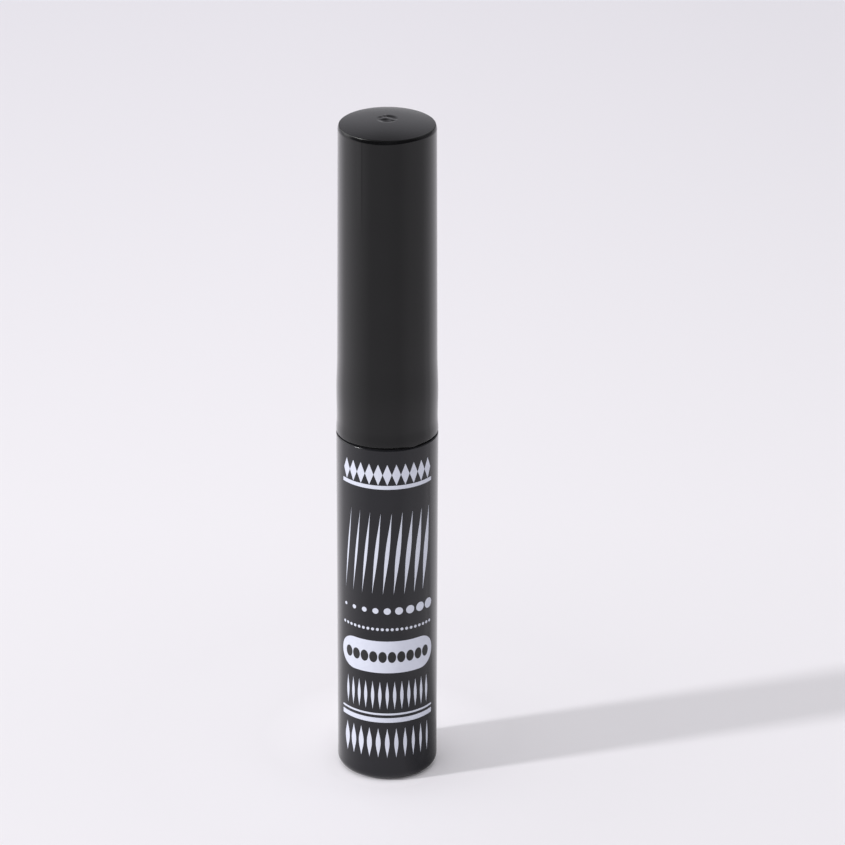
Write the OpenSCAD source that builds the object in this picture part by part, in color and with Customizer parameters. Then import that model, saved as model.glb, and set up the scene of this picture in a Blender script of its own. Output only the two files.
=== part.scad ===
/* [Bottle] */
// Outside diameter of the bottle's straight body
bottle_d = 15; // [13.5:0.1:20]
// Height of the bottle from its base to its shoulder
bottle_h = 54.2; // [44:0.1:75]
// Thickness of the bottle's side wall
bottle_wall = 1.9; // [1.2:0.05:2.4]
// Thickness of the bottle's floor
floor_t = 2.2; // [1.2:0.1:4]
// Thickness of the shoulder over the cavity
shoulder_t = 1.2; // [0.8:0.1:2.5]
// Height of the cone that draws the cavity in to the neck
cavity_cone_h = 2.5; // [1:0.1:5]
// Radius of the cavity's lower edge
cavity_edge_r = 1.2; // [0.4:0.1:2]
// Radius of the edge round the base
base_edge_r = 1.5; // [0.5:0.1:2.2]
// Radius of the edge round the shoulder
shoulder_edge_r = 0.35; // [0.1:0.05:0.8]
// Width of the flat ring that the bottle stands on
foot_w = 0.8; // [0.4:0.05:1.5]
// Depth of the recess under the base
recess_depth = 0.4; // [0.2:0.05:0.8]

/* [Neck and thread] */
// Height of the neck above the shoulder
neck_h = 11.4; // [9:0.1:16]
// Thickness of the neck's wall under its thread
neck_wall = 1.1; // [0.7:0.05:1.5]
// Radius of the neck's upper edges
neck_edge_r = 0.25; // [0.1:0.05:0.4]
// Number of thread starts
thread_starts = 2; // [1:1:3]
// Rise of the thread in one turn
thread_lead = 4; // [3:0.1:5]
// Turns of each thread start
thread_turns = 1.35; // [0.8:0.05:1.6]
// How far the thread stands out of its wall
thread_depth = 0.65; // [0.45:0.05:0.8]
// Angle of each flank of the thread
thread_flank_angle = 25; // [15:1:30]
// Radial play between a crest and the wall that it faces
thread_play = 0.2; // [0.1:0.05:0.3]
// Play along the axis between facing flanks
thread_flank_play = 0.2; // [0.1:0.05:0.3]

/* [Wiper] */
// Thickness of the wiper's flange on the neck's rim
wiper_flange_t = 0.8; // [0.5:0.1:1.5]
// Wall of the wiper's tube
wiper_wall = 0.6; // [0.4:0.05:0.9]
// Length of the wiper below the neck's rim
wiper_len = 9.8; // [7:0.1:12]
// Height of the wiper's lower cone
wiper_cone_h = 2.6; // [1.5:0.1:4]
// Width of the lip's lower edge
lip_edge_w = 0.35; // [0.2:0.05:0.6]
// Height of the straight land inside the lip
lip_land_h = 0.5; // [0.2:0.05:1]
// Radius of the snap bead round the tube
wiper_bead_r = 0.22; // [0.1:0.02:0.35]
// Depth of the snap bead below the neck's rim
wiper_bead_drop = 2.4; // [1.5:0.1:4]

/* [Seal and base label] */
// Thickness of the seal washer
washer_t = 1.2; // [0.6:0.1:2]
// Thickness of the blank label under the base
label_t = 0.12; // [0.06:0.02:0.2]
// Bare margin between the label and the recess
label_margin = 0.2; // [0.1:0.05:0.6]

/* [Cap shell] */
// Height of the cap from its rim to the middle of its top
cap_h = 48.3; // [38:0.1:60]
// Open seam between the bottle's shoulder and the cap's rim
seam_gap = 0.3; // [0.1:0.05:0.6]
// Wall of the cap round the insert and above it
cap_wall = 1.15; // [0.9:0.05:1.5]
// Thickness of the cap's top in its middle
cap_top_t = 1.7; // [0.8:0.1:2.5]
// Radius of the rim's outer edge
rim_edge_r = 0.15; // [0.05:0.05:0.4]
// Height of the slight waist above the rim
waist_z = 2.2; // [1:0.1:3.5]
// How far the waist lies inside the bottle's side
waist_inset = 0.09; // [0:0.01:0.2]
// Height above the rim of the band that the insert's bead swells
swell_z = 6.2; // [4:0.1:8]
// How far the swollen band lies inside the bottle's side
swell_inset = 0.035; // [0:0.005:0.15]
// Height above the rim where the cap's straight taper starts
taper_z = 12.5; // [9:0.1:18]
// How far the taper's start lies inside the bottle's side
taper_inset = 0.175; // [0:0.005:0.4]
// How far the cap's top lies inside the bottle's side
top_inset = 0.37; // [0.1:0.01:0.8]
// Radius of the edge round the top
top_edge_r = 0.5; // [0.2:0.05:1.2]
// Rise of the top's crown
crown_h = 0.85; // [0.1:0.05:1.2]
// Diameter of the moulding gate's dimple
gate_d = 3.4; // [2:0.1:5]
// Depth of the gate's dimple
gate_depth = 0.2; // [0.1:0.02:0.4]
// Diameter of the stub in the dimple
stub_d = 0.9; // [0.4:0.05:1.5]
// Height of the stub
stub_h = 0.14; // [0.05:0.01:0.3]
// Number of stop ribs inside the cap
stop_rib_count = 6; // [3:1:8]
// Thickness of a stop rib
stop_rib_t = 0.8; // [0.5:0.05:1.2]
// How far a stop rib stands in from the wall
stop_rib_depth = 1.1; // [0.6:0.05:1.4]

/* [Threaded insert] */
// Wall of the insert's skirt outside its thread
insert_wall = 0.65; // [0.5:0.05:0.8]
// How far the skirt stays above the cap's rim
insert_lift = 0.3; // [0.1:0.05:0.8]
// Chamfer inside the skirt's lower edge
skirt_chamfer = 0.25; // [0.1:0.05:0.4]
// Thickness of the web over the seal washer
web_t = 1.6; // [1:0.1:2.5]
// How far the insert's snap bead reaches into the cap's wall
insert_bead_r = 0.15; // [0.08:0.01:0.25]
// Number of grip ribs round the insert
grip_rib_count = 36; // [18:1:48]
// Width of a grip rib
grip_rib_w = 0.5; // [0.3:0.05:0.6]
// How far a grip rib stands out
grip_rib_h = 0.15; // [0.08:0.01:0.2]
// Length of the grip ribs below the web's top
grip_rib_len = 6; // [3:0.1:7]
// Wall of the boss round the stem's tail
boss_wall = 1.4; // [0.9:0.1:2]
// Roof over the stem's socket
boss_roof_t = 1.7; // [1:0.1:3]
// Number of gussets that brace the boss
gusset_count = 4; // [2:1:6]
// Thickness of a gusset
gusset_t = 0.8; // [0.5:0.05:1.2]
// Height of a gusset
gusset_h = 5; // [2:0.1:7]

/* [Stem and brush] */
// Diameter of the stem
stem_d = 3.2; // [2.4:0.1:4]
// Diameter of the stem at the brush
stem_tip_d = 2.4; // [2.1:0.05:3]
// Length of the stem's taper
stem_taper_len = 30; // [10:0.5:34]
// Chamfer at the stem's ends
stem_chamfer = 0.25; // [0.1:0.05:0.35]
// Length of the stem's tail in the socket
tail_len = 7.4; // [4:0.1:10]
// Number of barb rings on the tail
barb_count = 2; // [1:1:3]
// How far a barb ring stands out
barb_r = 0.15; // [0.05:0.01:0.25]
// Diameter of the brush where it leaves the stem
brush_d = 1.6; // [1:0.05:1.7]
// Length of the brush outside the stem
brush_len = 9.5; // [6:0.1:13]
// Depth of the brush's root in the stem
root_depth = 3; // [2:0.1:5]
// Space between the brush's tip and the bottle's floor
tip_gap = 2.8; // [1:0.1:6]
// Diameter of the anchor wire through the root
anchor_d = 0.5; // [0.3:0.02:0.6]
// How far the anchor bites into the stem's wall
anchor_bite = 0.15; // [0.05:0.01:0.2]

/* [Ink] */
// Share of the cavity's height that the ink fills
ink_fill_share = 0.65; // [0.4:0.01:0.9]
// Space kept round the stem and brush in the ink
ink_gap = 0.3; // [0.1:0.05:0.5]

/* [Fits] */
// Gap of the pressed and snapped fits
fit_gap = 0.02; // [0.01:0.005:0.03]
// Running gap round the stem in the lip and the washer
run_gap = 0.05; // [0.02:0.01:0.09]
// Gap between parts of the insert and the stop ribs
rib_gap = 0.3; // [0.2:0.05:0.5]

/* [Hidden] */
$fn = 96;
// Steps of an edge's arc, of an eased stretch of the cap and of the brush's taper
edge_steps = 8;
ease_steps = 8;
crown_steps = 10;
brush_steps = 12;
// Steps of the thread in one turn, and steps over which its ends fade out
thread_facets = 32;
thread_fade_steps = 5;
// How far a cut runs past the surface that it opens
overrun = 0.5;
// How far a rib's foot is sunk into the wall that carries it
thread_sink = 0.3;
rib_sink = 0.3;
// Fullness of the brush: 1 is a straight cone, more is rounder
brush_fullness = 2.2;

// Radii, worked from the outside in
bottle_r = bottle_d / 2;
cavity_r = bottle_r - bottle_wall;
pocket_r = bottle_r - cap_wall;
insert_r = pocket_r - fit_gap - grip_rib_h;
snap_r = pocket_r - insert_r + insert_bead_r;
thread_bore_r = insert_r - insert_wall;
neck_crest_r = thread_bore_r - thread_play;
neck_r = neck_crest_r - thread_depth;
insert_crest_r = thread_bore_r - thread_depth;
neck_bore_r = neck_r - neck_wall;
wiper_r = neck_bore_r - fit_gap;
flange_r = neck_r - neck_edge_r;
washer_r = thread_bore_r - thread_play;
stem_r = stem_d / 2;
stem_tip_r = stem_tip_d / 2;
brush_r = brush_d / 2;
lip_r = stem_r + run_gap;
boss_r = stem_r + fit_gap + boss_wall;
recess_r = bottle_r - base_edge_r - foot_w;
cap_top_r = bottle_r - top_inset;
hollow_top_r = cap_top_r - cap_wall;
hollow_low_r = bottle_r - taper_inset - cap_wall;
stop_rib_r = hollow_top_r - stop_rib_depth;
gusset_r = stop_rib_r - rib_gap;

// Levels, worked from the base up
cavity_top_z = bottle_h - shoulder_t;
cavity_cone_z = cavity_top_z - cavity_cone_h;
neck_top_z = bottle_h + neck_h;
wiper_top_z = neck_top_z + wiper_flange_t;
lip_z = neck_top_z - wiper_len;
washer_top_z = wiper_top_z + washer_t;
web_top_z = washer_top_z + web_t;
rim_z = bottle_h + seam_gap;
skirt_z = rim_z + insert_lift;
cap_top_z = rim_z + cap_h;
cap_edge_z = cap_top_z - crown_h;
gate_z = cap_top_z - gate_depth;
hollow_top_z = cap_top_z - cap_top_t;
tail_top_z = washer_top_z + tail_len;
socket_top_z = tail_top_z + stem_chamfer;
boss_top_z = socket_top_z + boss_roof_t;
tip_z = floor_t + tip_gap;
stem_low_z = tip_z + brush_len;
root_top_z = stem_low_z + root_depth;
anchor_z = root_top_z - anchor_d;
ink_z = floor_t + (cavity_top_z - floor_t) * ink_fill_share;

// Thread, with the same helix on the neck and in the insert, half a pitch apart
thread_pitch = thread_lead / thread_starts;
thread_overlap = thread_depth - thread_play;
thread_crest_w = thread_pitch / 2 - thread_flank_play - thread_overlap * tan(thread_flank_angle);
thread_low_z = bottle_h + (neck_h - thread_lead * thread_turns) / 2;

// Sphere whose cap is the crown of the top
crown_chord = cap_top_r - top_edge_r;
crown_r = (crown_chord * crown_chord + crown_h * crown_h) / (2 * crown_h);

// Cap's outline as stations of height above the rim and inset from the bottle's side
cap_stations = [[0, 0], [waist_z, waist_inset], [swell_z, swell_inset], [taper_z, taper_inset]];

// Points along an arc round a centre, from one angle to another
function arc(centre, r, from, to) = [
    for (i = [0:edge_steps])
        let (a = from + (to - from) * i / edge_steps)
            centre + r * [cos(a), sin(a)],
];

// Smooth step from 0 to 1 with level ends
function ease(t) = (1 - cos(180 * t)) / 2;

// Point of the cap's outline at a share of the way from one station to the next
function cap_point(low, high, t) = [
    bottle_r - low[1] - (high[1] - low[1]) * ease(t),
    rim_z + low[0] + (high[0] - low[0]) * t,
];

// Outline of the cap's eased stretches, from the rim to the taper's start
function cap_side() = [
    for (i = [0:len(cap_stations) - 2])
        for (k = [0:ease_steps - 1])
            if (i + k > 0)
                cap_point(cap_stations[i], cap_stations[i + 1], k / ease_steps),
    [bottle_r - taper_inset, rim_z + taper_z],
];

// Height of the crown's sphere at a radius
function crown_z(r) = cap_top_z - crown_r + sqrt(crown_r * crown_r - r * r);

// Outline of the crown, from the top's edge in to the axis
function crown() = [
    for (i = [1:crown_steps])
        let (r = crown_chord * (1 - i / crown_steps))
            [r, crown_z(r)],
];

// Outline of the cavity, drawn in by an inset
function cavity_edge(inset) = arc(
    [cavity_r - cavity_edge_r, floor_t + cavity_edge_r], cavity_edge_r - inset, -90, 0);

// Radius of the stem at a height
function stem_radius(z) =
    stem_tip_r + (stem_r - stem_tip_r) * min(1, (z - stem_low_z) / stem_taper_len);

// One ring of points across a thread rib, at a height and with its crest at a radius
function thread_ring(foot_r, crest_r, rib_r, angle, z) =
    let (
        slope = tan(thread_flank_angle),
        wide = thread_crest_w / 2 + abs(crest_r - foot_r) * slope,
        narrow = wide - abs(rib_r - foot_r) * slope,
        section = [[foot_r, -wide], [rib_r, -narrow], [rib_r, narrow], [foot_r, wide]],
        order = crest_r > foot_r ? [0, 1, 2, 3] : [3, 2, 1, 0]
    )
    [for (j = order) [section[j][0] * cos(angle), section[j][0] * sin(angle), z + section[j][1]]];

// One thread start: a rib swept up the helix, sunk into its wall and fading out at both ends
module thread_rib(foot_r, wall_r, crest_r, low_z) {
    steps = round(thread_turns * thread_facets);
    end_r = (foot_r + wall_r) / 2;
    points = [
        for (i = [0:steps])
            let (
                fade = min(1, i / thread_fade_steps, (steps - i) / thread_fade_steps),
                turn = thread_turns * i / steps
            )
            each thread_ring(
                foot_r, crest_r, end_r + (crest_r - end_r) * fade, 360 * turn, low_z + thread_lead * turn),
    ];
    sides = [
        for (i = [0:steps - 1])
            for (j = [0:3])
                let (
                    a = 4 * i + j,
                    b = 4 * i + (j + 1) % 4
                )
                each [[a, b, b + 4], [a, b + 4, a + 4]],
    ];
    end = 4 * steps;
    caps = [[3, 2, 1], [3, 1, 0], [end, end + 1, end + 2], [end, end + 2, end + 3]];
    polyhedron(points, concat(sides, caps));
}

// All thread starts, spaced evenly round the axis
module thread(foot_r, wall_r, crest_r, low_z) {
    for (k = [0:thread_starts - 1])
        rotate([0, 0, 360 * k / thread_starts])
            thread_rib(foot_r, wall_r, crest_r, low_z);
}

// Ring of round section, used for snap beads and for the grooves that take them
module bead(ring_r, section_r, z) {
    translate([0, 0, z])
        rotate_extrude()
            translate([ring_r, 0])
                circle(section_r, $fn = 32);
}

// Solid turned about the axis from an outline of radius and height
module turned(outline) {
    rotate_extrude()
        polygon(outline);
}

// Evenly spaced upright ribs, each from one radius out to another
module ribs(count, from_r, to_r, width, low_z, high_z) {
    for (k = [0:count - 1])
        rotate([0, 0, 360 * k / count])
            translate([from_r, -width / 2, low_z])
                cube([to_r - from_r, width, high_z - low_z]);
}

// Barb rings of the stem's tail, or their grooves when swollen
module barbs(swell) {
    for (i = [1:barb_count])
        bead(stem_r, barb_r + swell, washer_top_z + tail_len * i / (barb_count + 1));
}

// Anchor wire across the brush's root, or its hole when swollen
module anchor_wire(swell) {
    length = 2 * (brush_r + anchor_bite + swell);
    translate([-length / 2, 0, anchor_z])
        rotate([0, 90, 0])
            cylinder(h = length, d = anchor_d + 2 * swell, $fn = 24);
}

module bottle() {
    outside = concat(
        [[0, 0]],
        arc([bottle_r - base_edge_r, base_edge_r], base_edge_r, -90, 0),
        arc([bottle_r - shoulder_edge_r, bottle_h - shoulder_edge_r], shoulder_edge_r, 0, 90),
        [[neck_r, bottle_h]],
        arc([neck_r - neck_edge_r, neck_top_z - neck_edge_r], neck_edge_r, 0, 90),
        [[0, neck_top_z]]
    );
    cavity = concat(
        [[0, floor_t]],
        cavity_edge(0),
        [
            [cavity_r, cavity_cone_z],
            [neck_bore_r, cavity_top_z],
            [neck_bore_r, neck_top_z + overrun],
            [0, neck_top_z + overrun],
        ]
    );
    color("#17171a")
        union() {
            difference() {
                turned(outside);
                turned(cavity);
                bead(neck_bore_r, wiper_bead_r + fit_gap, neck_top_z - wiper_bead_drop);
                translate([0, 0, -overrun])
                    cylinder(h = recess_depth + overrun, r = recess_r);
            }
            thread(neck_r - thread_sink, neck_r, neck_crest_r, thread_low_z);
        }
}

module wiper() {
    inner_r = wiper_r - wiper_wall;
    color("#e8e6df")
        union() {
            turned([
                [lip_r, lip_z],
                [lip_r + lip_edge_w, lip_z],
                [wiper_r, lip_z + wiper_cone_h],
                [wiper_r, neck_top_z],
                [flange_r, neck_top_z],
                [flange_r, wiper_top_z],
                [inner_r, wiper_top_z],
                [inner_r, lip_z + wiper_cone_h + wiper_wall],
                [lip_r, lip_z + lip_land_h],
            ]);
            bead(wiper_r, wiper_bead_r, neck_top_z - wiper_bead_drop);
        }
}

module ink() {
    filling = concat(
        [[0, floor_t + fit_gap]],
        cavity_edge(fit_gap),
        [[cavity_r - fit_gap, ink_z], [0, ink_z]]
    );
    well = [
        [0, tip_z - ink_gap],
        [brush_r + ink_gap, tip_z - ink_gap],
        [brush_r + ink_gap, stem_low_z - ink_gap],
        [stem_tip_r + ink_gap, stem_low_z - ink_gap],
        [stem_radius(ink_z) + ink_gap, ink_z],
        [stem_radius(ink_z) + ink_gap, ink_z + overrun],
        [0, ink_z + overrun],
    ];
    color("#050506")
        difference() {
            turned(filling);
            turned(well);
        }
}

module base_label() {
    color("#e9e9ec")
        translate([0, 0, recess_depth - label_t])
            cylinder(h = label_t, r = recess_r - label_margin);
}

module seal_washer() {
    color("#f2f1ec")
        translate([0, 0, wiper_top_z])
            difference() {
                cylinder(h = washer_t, r = washer_r);
                translate([0, 0, -overrun])
                    cylinder(h = washer_t + 2 * overrun, r = lip_r);
            }
}

module inner_cap() {
    grip_low_z = web_top_z - grip_rib_len;
    // Bore of the skirt up to the washer, with its chamfered mouth, then the stem's socket
    bore = [
        [0, skirt_z - overrun],
        [thread_bore_r + skirt_chamfer + overrun, skirt_z - overrun],
        [thread_bore_r, skirt_z + skirt_chamfer],
        [thread_bore_r, washer_top_z],
        [stem_r + fit_gap, washer_top_z],
        [stem_r + fit_gap, socket_top_z],
        [0, socket_top_z],
    ];
    color("#2b2b2e")
        union() {
            difference() {
                union() {
                    translate([0, 0, skirt_z])
                        cylinder(h = web_top_z - skirt_z, r = insert_r);
                    translate([0, 0, washer_top_z])
                        cylinder(h = boss_top_z - washer_top_z, r = boss_r);
                    ribs(gusset_count, 0, gusset_r, gusset_t, washer_top_z, web_top_z + gusset_h);
                    ribs(
                        grip_rib_count, insert_r - insert_wall / 2, insert_r + grip_rib_h,
                        grip_rib_w, grip_low_z, web_top_z
                    );
                    bead(insert_r, snap_r - fit_gap, rim_z + swell_z);
                }
                turned(bore);
                barbs(fit_gap);
            }
            thread(
                thread_bore_r + thread_sink, thread_bore_r, insert_crest_r,
                thread_low_z + thread_pitch / 2
            );
        }
}

module cap_shell() {
    outside = concat(
        [[0, rim_z]],
        arc([bottle_r - rim_edge_r, rim_z + rim_edge_r], rim_edge_r, -90, 0),
        cap_side(),
        arc([cap_top_r - top_edge_r, cap_edge_z - top_edge_r], top_edge_r, 0, 90),
        crown()
    );
    hollow = [
        [0, web_top_z - overrun],
        [hollow_low_r, web_top_z - overrun],
        [hollow_low_r, web_top_z],
        [hollow_top_r, hollow_top_z],
        [0, hollow_top_z],
    ];
    color("#232326")
        union() {
            difference() {
                turned(outside);
                translate([0, 0, rim_z - overrun])
                    cylinder(h = web_top_z - rim_z + overrun, r = pocket_r);
                bead(insert_r, snap_r, rim_z + swell_z);
                turned(hollow);
                translate([0, 0, gate_z])
                    cylinder(h = gate_depth + overrun, d = gate_d);
            }
            ribs(
                stop_rib_count, stop_rib_r, hollow_top_r + rib_sink,
                stop_rib_t, web_top_z + fit_gap, hollow_top_z + rib_sink
            );
            translate([0, 0, gate_z - rib_sink])
                cylinder(h = rib_sink + stub_h, d = stub_d);
        }
}

module stem() {
    outside = [
        [0, stem_low_z],
        [stem_tip_r - stem_chamfer, stem_low_z],
        [stem_radius(stem_low_z + stem_chamfer), stem_low_z + stem_chamfer],
        [stem_r, stem_low_z + stem_taper_len],
        [stem_r, tail_top_z - stem_chamfer],
        [stem_r - stem_chamfer, tail_top_z],
        [0, tail_top_z],
    ];
    color("#1b1b1d")
        difference() {
            union() {
                turned(outside);
                barbs(0);
            }
            translate([0, 0, stem_low_z - overrun])
                cylinder(h = root_depth + fit_gap + overrun, r = brush_r + fit_gap);
            anchor_wire(fit_gap);
        }
}

module brush_tuft() {
    belly = [
        for (i = [1:brush_steps])
            let (t = i / brush_steps)
                [brush_r * (1 - pow(1 - t, brush_fullness)), tip_z + brush_len * t],
    ];
    color("#3a3230")
        difference() {
            turned(concat([[0, root_top_z], [0, tip_z]], belly, [[brush_r, root_top_z]]));
            anchor_wire(fit_gap);
        }
}

module tuft_anchor() {
    color("#b9a06a")
        anchor_wire(0);
}

bottle();
wiper();
ink();
base_label();
seal_washer();
inner_cap();
cap_shell();
stem();
brush_tuft();
tuft_anchor();
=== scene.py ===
# %% [markdown]
# # A slim eyeliner pen with a dip brush
#
# The pen is two slim black mouldings, a glossy bottle and a satin cap, with a stem and a brush inside.
# The engineering model is already packed: it says where every piece is and how big it is.
# This lesson loads it, rebuilds what shows with smooth surfaces, gives each piece a finish, and
# sets the pen under a camera on a pale floor. Everything is in metres, in the imported model's own frame.

# %% Load the imported model
import math

import bmesh
import bpy
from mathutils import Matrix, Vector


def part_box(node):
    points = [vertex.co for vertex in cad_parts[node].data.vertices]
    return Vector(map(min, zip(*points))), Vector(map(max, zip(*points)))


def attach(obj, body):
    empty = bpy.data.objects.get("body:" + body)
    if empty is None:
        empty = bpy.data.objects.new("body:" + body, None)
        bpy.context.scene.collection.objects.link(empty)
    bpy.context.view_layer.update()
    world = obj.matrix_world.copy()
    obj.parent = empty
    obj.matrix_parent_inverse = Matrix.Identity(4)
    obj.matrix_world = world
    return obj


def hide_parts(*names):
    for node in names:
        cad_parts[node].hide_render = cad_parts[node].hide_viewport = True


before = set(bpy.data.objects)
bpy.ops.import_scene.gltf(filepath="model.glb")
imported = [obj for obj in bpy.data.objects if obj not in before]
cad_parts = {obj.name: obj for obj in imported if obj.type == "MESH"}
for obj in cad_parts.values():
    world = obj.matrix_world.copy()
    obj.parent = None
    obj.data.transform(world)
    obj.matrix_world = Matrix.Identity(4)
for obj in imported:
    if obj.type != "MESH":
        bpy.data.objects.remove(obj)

bpy.context.view_layer.update()

# %% [markdown]
# ## Sizes
#
# Sizes are real ones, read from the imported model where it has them: the box of a node gives its
# radius and its lowest and highest level. The rest are the sizes that the model was drawn with. Those
# that several pieces share are named here, and each other one in the cell that first needs it.

# %% Sizes shared by several pieces
MM = 0.001
# Points closer together than this are one point.
WELD = MM * 1e-4

bottle_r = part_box("bottle")[1].x
neck_top_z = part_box("bottle")[1].z
rim_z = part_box("cap_shell")[0].z
cap_top_z = rim_z + 48.3 * MM
seam_gap = 0.3 * MM
bottle_top_z = rim_z - seam_gap
print("bottle: radius %.2f mm, shoulder at %.1f mm" % (bottle_r / MM, bottle_top_z / MM))
print("cap: rim at %.1f mm, top at %.1f mm" % (rim_z / MM, cap_top_z / MM))

# %% [markdown]
# ## Small helpers
#
# Nodes can be placed by hand in Blender's editors. Placed by a script they come out the same each
# time, and a few lines are easier to compare than two screens of boxes. Every node tree below, for a
# shape or for a finish, is made with one helper: it adds a node, sets its properties and fills its
# inputs, each with a value or with the node or socket that feeds it. A second helper starts a
# geometry node tree with named inputs, and a third ends it in real geometry with a material. A fourth
# runs such a tree on a base mesh and keeps the result as a plain mesh, because the export has no use
# for live node trees.

# %% Helpers for node trees
def add_node(tree, kind, inputs=None, stops=(), **settings):
    """Adds a node; an input takes a value, a node or a socket, and a ramp's stop a level or a colour."""
    node = tree.nodes.new(kind)
    for name, value in settings.items():
        setattr(node, name, value)
    for key, source in (inputs or {}).items():
        if isinstance(source, bpy.types.Node):
            source = source.outputs[0]
        if isinstance(source, bpy.types.NodeSocket):
            tree.links.new(source, node.inputs[key])
        else:
            node.inputs[key].default_value = source
    ends = {0: 0, 1: -1}
    for spot, tint in stops:
        marks = node.color_ramp.elements
        mark = marks[ends[spot]] if spot in ends else marks.new(spot)
        mark.color = tint if isinstance(tint, tuple) else (tint, tint, tint, 1)
    return node


def start_tree(name, sockets):
    """Starts a geometry node tree and returns it with its input node."""
    tree = bpy.data.node_groups.new(name, "GeometryNodeTree")
    tree.interface.new_socket("Geometry", in_out="OUTPUT", socket_type="NodeSocketGeometry")
    tree.interface.new_socket("Geometry", in_out="INPUT", socket_type="NodeSocketGeometry")
    for label, kind in sockets.items():
        tree.interface.new_socket(label, in_out="INPUT", socket_type="NodeSocket" + kind)
    return tree, add_node(tree, "NodeGroupInput")


def finish_tree(tree, inside, shape):
    """Ends a tree with real geometry that carries its material."""
    real = add_node(tree, "GeometryNodeRealizeInstances", {"Geometry": shape})
    finished = add_node(
        tree, "GeometryNodeSetMaterial", {"Geometry": real, "Material": inside.outputs["Material"]}
    )
    add_node(tree, "NodeGroupOutput", {"Geometry": finished})
    return tree


# %% Helper that runs a tree
crease_angle = math.radians(35)


def grow(name, tree, base, **values):
    """Runs a tree on a base mesh and returns a plain mesh object with its faces turned outwards."""
    source = bpy.data.objects.new(name + "_source", base)
    bpy.context.scene.collection.objects.link(source)
    modifier = source.modifiers.new("Shape", "NODES")
    modifier.node_group = tree
    sockets = {item.name: item.identifier for item in tree.interface.items_tree if item.in_out == "INPUT"}
    for label, value in values.items():
        modifier[sockets[label.replace("_", " ")]] = value
    evaluated = source.evaluated_get(bpy.context.evaluated_depsgraph_get())
    mesh = bpy.data.meshes.new_from_object(evaluated)
    bpy.data.objects.remove(source)
    mesh.name = name
    edit = bmesh.new()
    edit.from_mesh(mesh)
    bmesh.ops.remove_doubles(edit, verts=edit.verts, dist=WELD)
    bmesh.ops.recalc_face_normals(edit, faces=edit.faces)
    volume = edit.calc_volume(signed=True)
    edit.to_mesh(mesh)
    edit.free()
    mesh.polygons.foreach_set("use_smooth", [True] * len(mesh.polygons))
    mesh.set_sharp_from_angle(angle=crease_angle)
    piece = bpy.data.objects.new(name, mesh)
    bpy.context.scene.collection.objects.link(piece)
    print("%s: %d faces, %.1f cubic mm" % (name, len(mesh.polygons), volume / MM**3))
    return piece


# %% [markdown]
# Colours are written as the hex codes that a paint program shows. Those are bent to suit the eye,
# while light adds up in straight numbers, so one function turns each code into such numbers. Every
# material starts from the principled shader, and its patterns are laid out in the object's own
# coordinates, which are metres and move with the piece, so no pattern can slide on it.

# %% Helpers for colours and materials
def colour(code):
    """Turns an sRGB hex colour into Blender's linear one."""
    shares = [int(code[i : i + 2], 16) / 255 for i in (1, 3, 5)]
    return tuple(s / 12.92 if s <= 0.04045 else ((s + 0.055) / 1.055) ** 2.4 for s in shares) + (1.0,)


def start_material(name, **shader):
    """Starts a material and returns it with its tree, its shader and the object's own coordinates."""
    material = bpy.data.materials.new(name)
    material.use_nodes = True
    tree = material.node_tree
    surface = tree.nodes["Principled BSDF"]
    for label, value in shader.items():
        surface.inputs[label.replace("_", " ")].default_value = value
    place = add_node(tree, "ShaderNodeTexCoord").outputs["Object"]
    return material, tree, surface, place


print("middle grey #808080 is %.3f in straight numbers" % colour("#808080")[0])

# %% [markdown]
# ## The camera
#
# The photograph is taken from straight in front and a little above, with a long lens, so the pen's
# sides stay almost parallel. The camera could be placed by eye, but a measured one lets picture and
# photograph be compared point by point: fitting the pen's straight edges gave the distance, the
# height and the tilt. A small sideways shift of the lens puts the pen left of the middle without
# turning it.

# %% Camera
FRAME_PIXELS = 845
focal_pixels = 5000
axis_pixel = 387.25
camera_distance = 671.1 * MM
camera_height = 348.9 * MM
camera_tilt = math.radians(23.62)

camera_data = bpy.data.cameras.new("camera")
camera_data.sensor_width = 36
camera_data.lens = camera_data.sensor_width * focal_pixels / FRAME_PIXELS
camera_data.shift_x = (FRAME_PIXELS / 2 - axis_pixel) / FRAME_PIXELS
camera = bpy.data.objects.new("camera", camera_data)
camera.location = (0, -camera_distance, camera_height)
camera.rotation_euler = (math.pi / 2 - camera_tilt, 0, 0)
bpy.context.scene.collection.objects.link(camera)
bpy.context.scene.camera = camera
print("lens %.0f mm, shift %.4f" % (camera_data.lens, camera_data.shift_x))

# %% [markdown]
# ## The floor
#
# The pen stands on a sheet of matt lavender-white paper that fills the picture. A studio bends such a
# sheet up behind the object. Here one flat square does, because the camera looks down and never sees
# its end. Matt paper scatters light and mirrors next to nothing, so its shader needs only a high
# roughness. Its colour carries painted shade and painted light: painted shade makes it greyer far
# behind the pen and a little darker to the right, and a painted light makes it paler close to the
# pen, against the shade the pen casts there by hiding part of the room from it.

# %% The paper's tint, with painted shade and painted light
# Painted shade: the paper is greyer far behind the pen and a little darker to the right.
back_span = (-0.06, 0.42)
painted_back_shade = [(0, colour("#F9F6FC")), (0.3, colour("#FBF8FE")), (1, colour("#EAE7EF"))]
right_shade_span = (-0.02, 0.09)
right_shade = 0.955
# Painted light: the paper is paler close to the pen and paler still at its foot, against the shade the pen
# casts there.
painted_light_centre = (0, 8 * MM, 0)
painted_light_span = (10 * MM, 40 * MM)
painted_light_levels = [(0, 1.0), (0.3, 0.91), (1, 0.88)]
foot_span = (8 * MM, 11 * MM)
past_foot_light_level = 0.86

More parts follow.
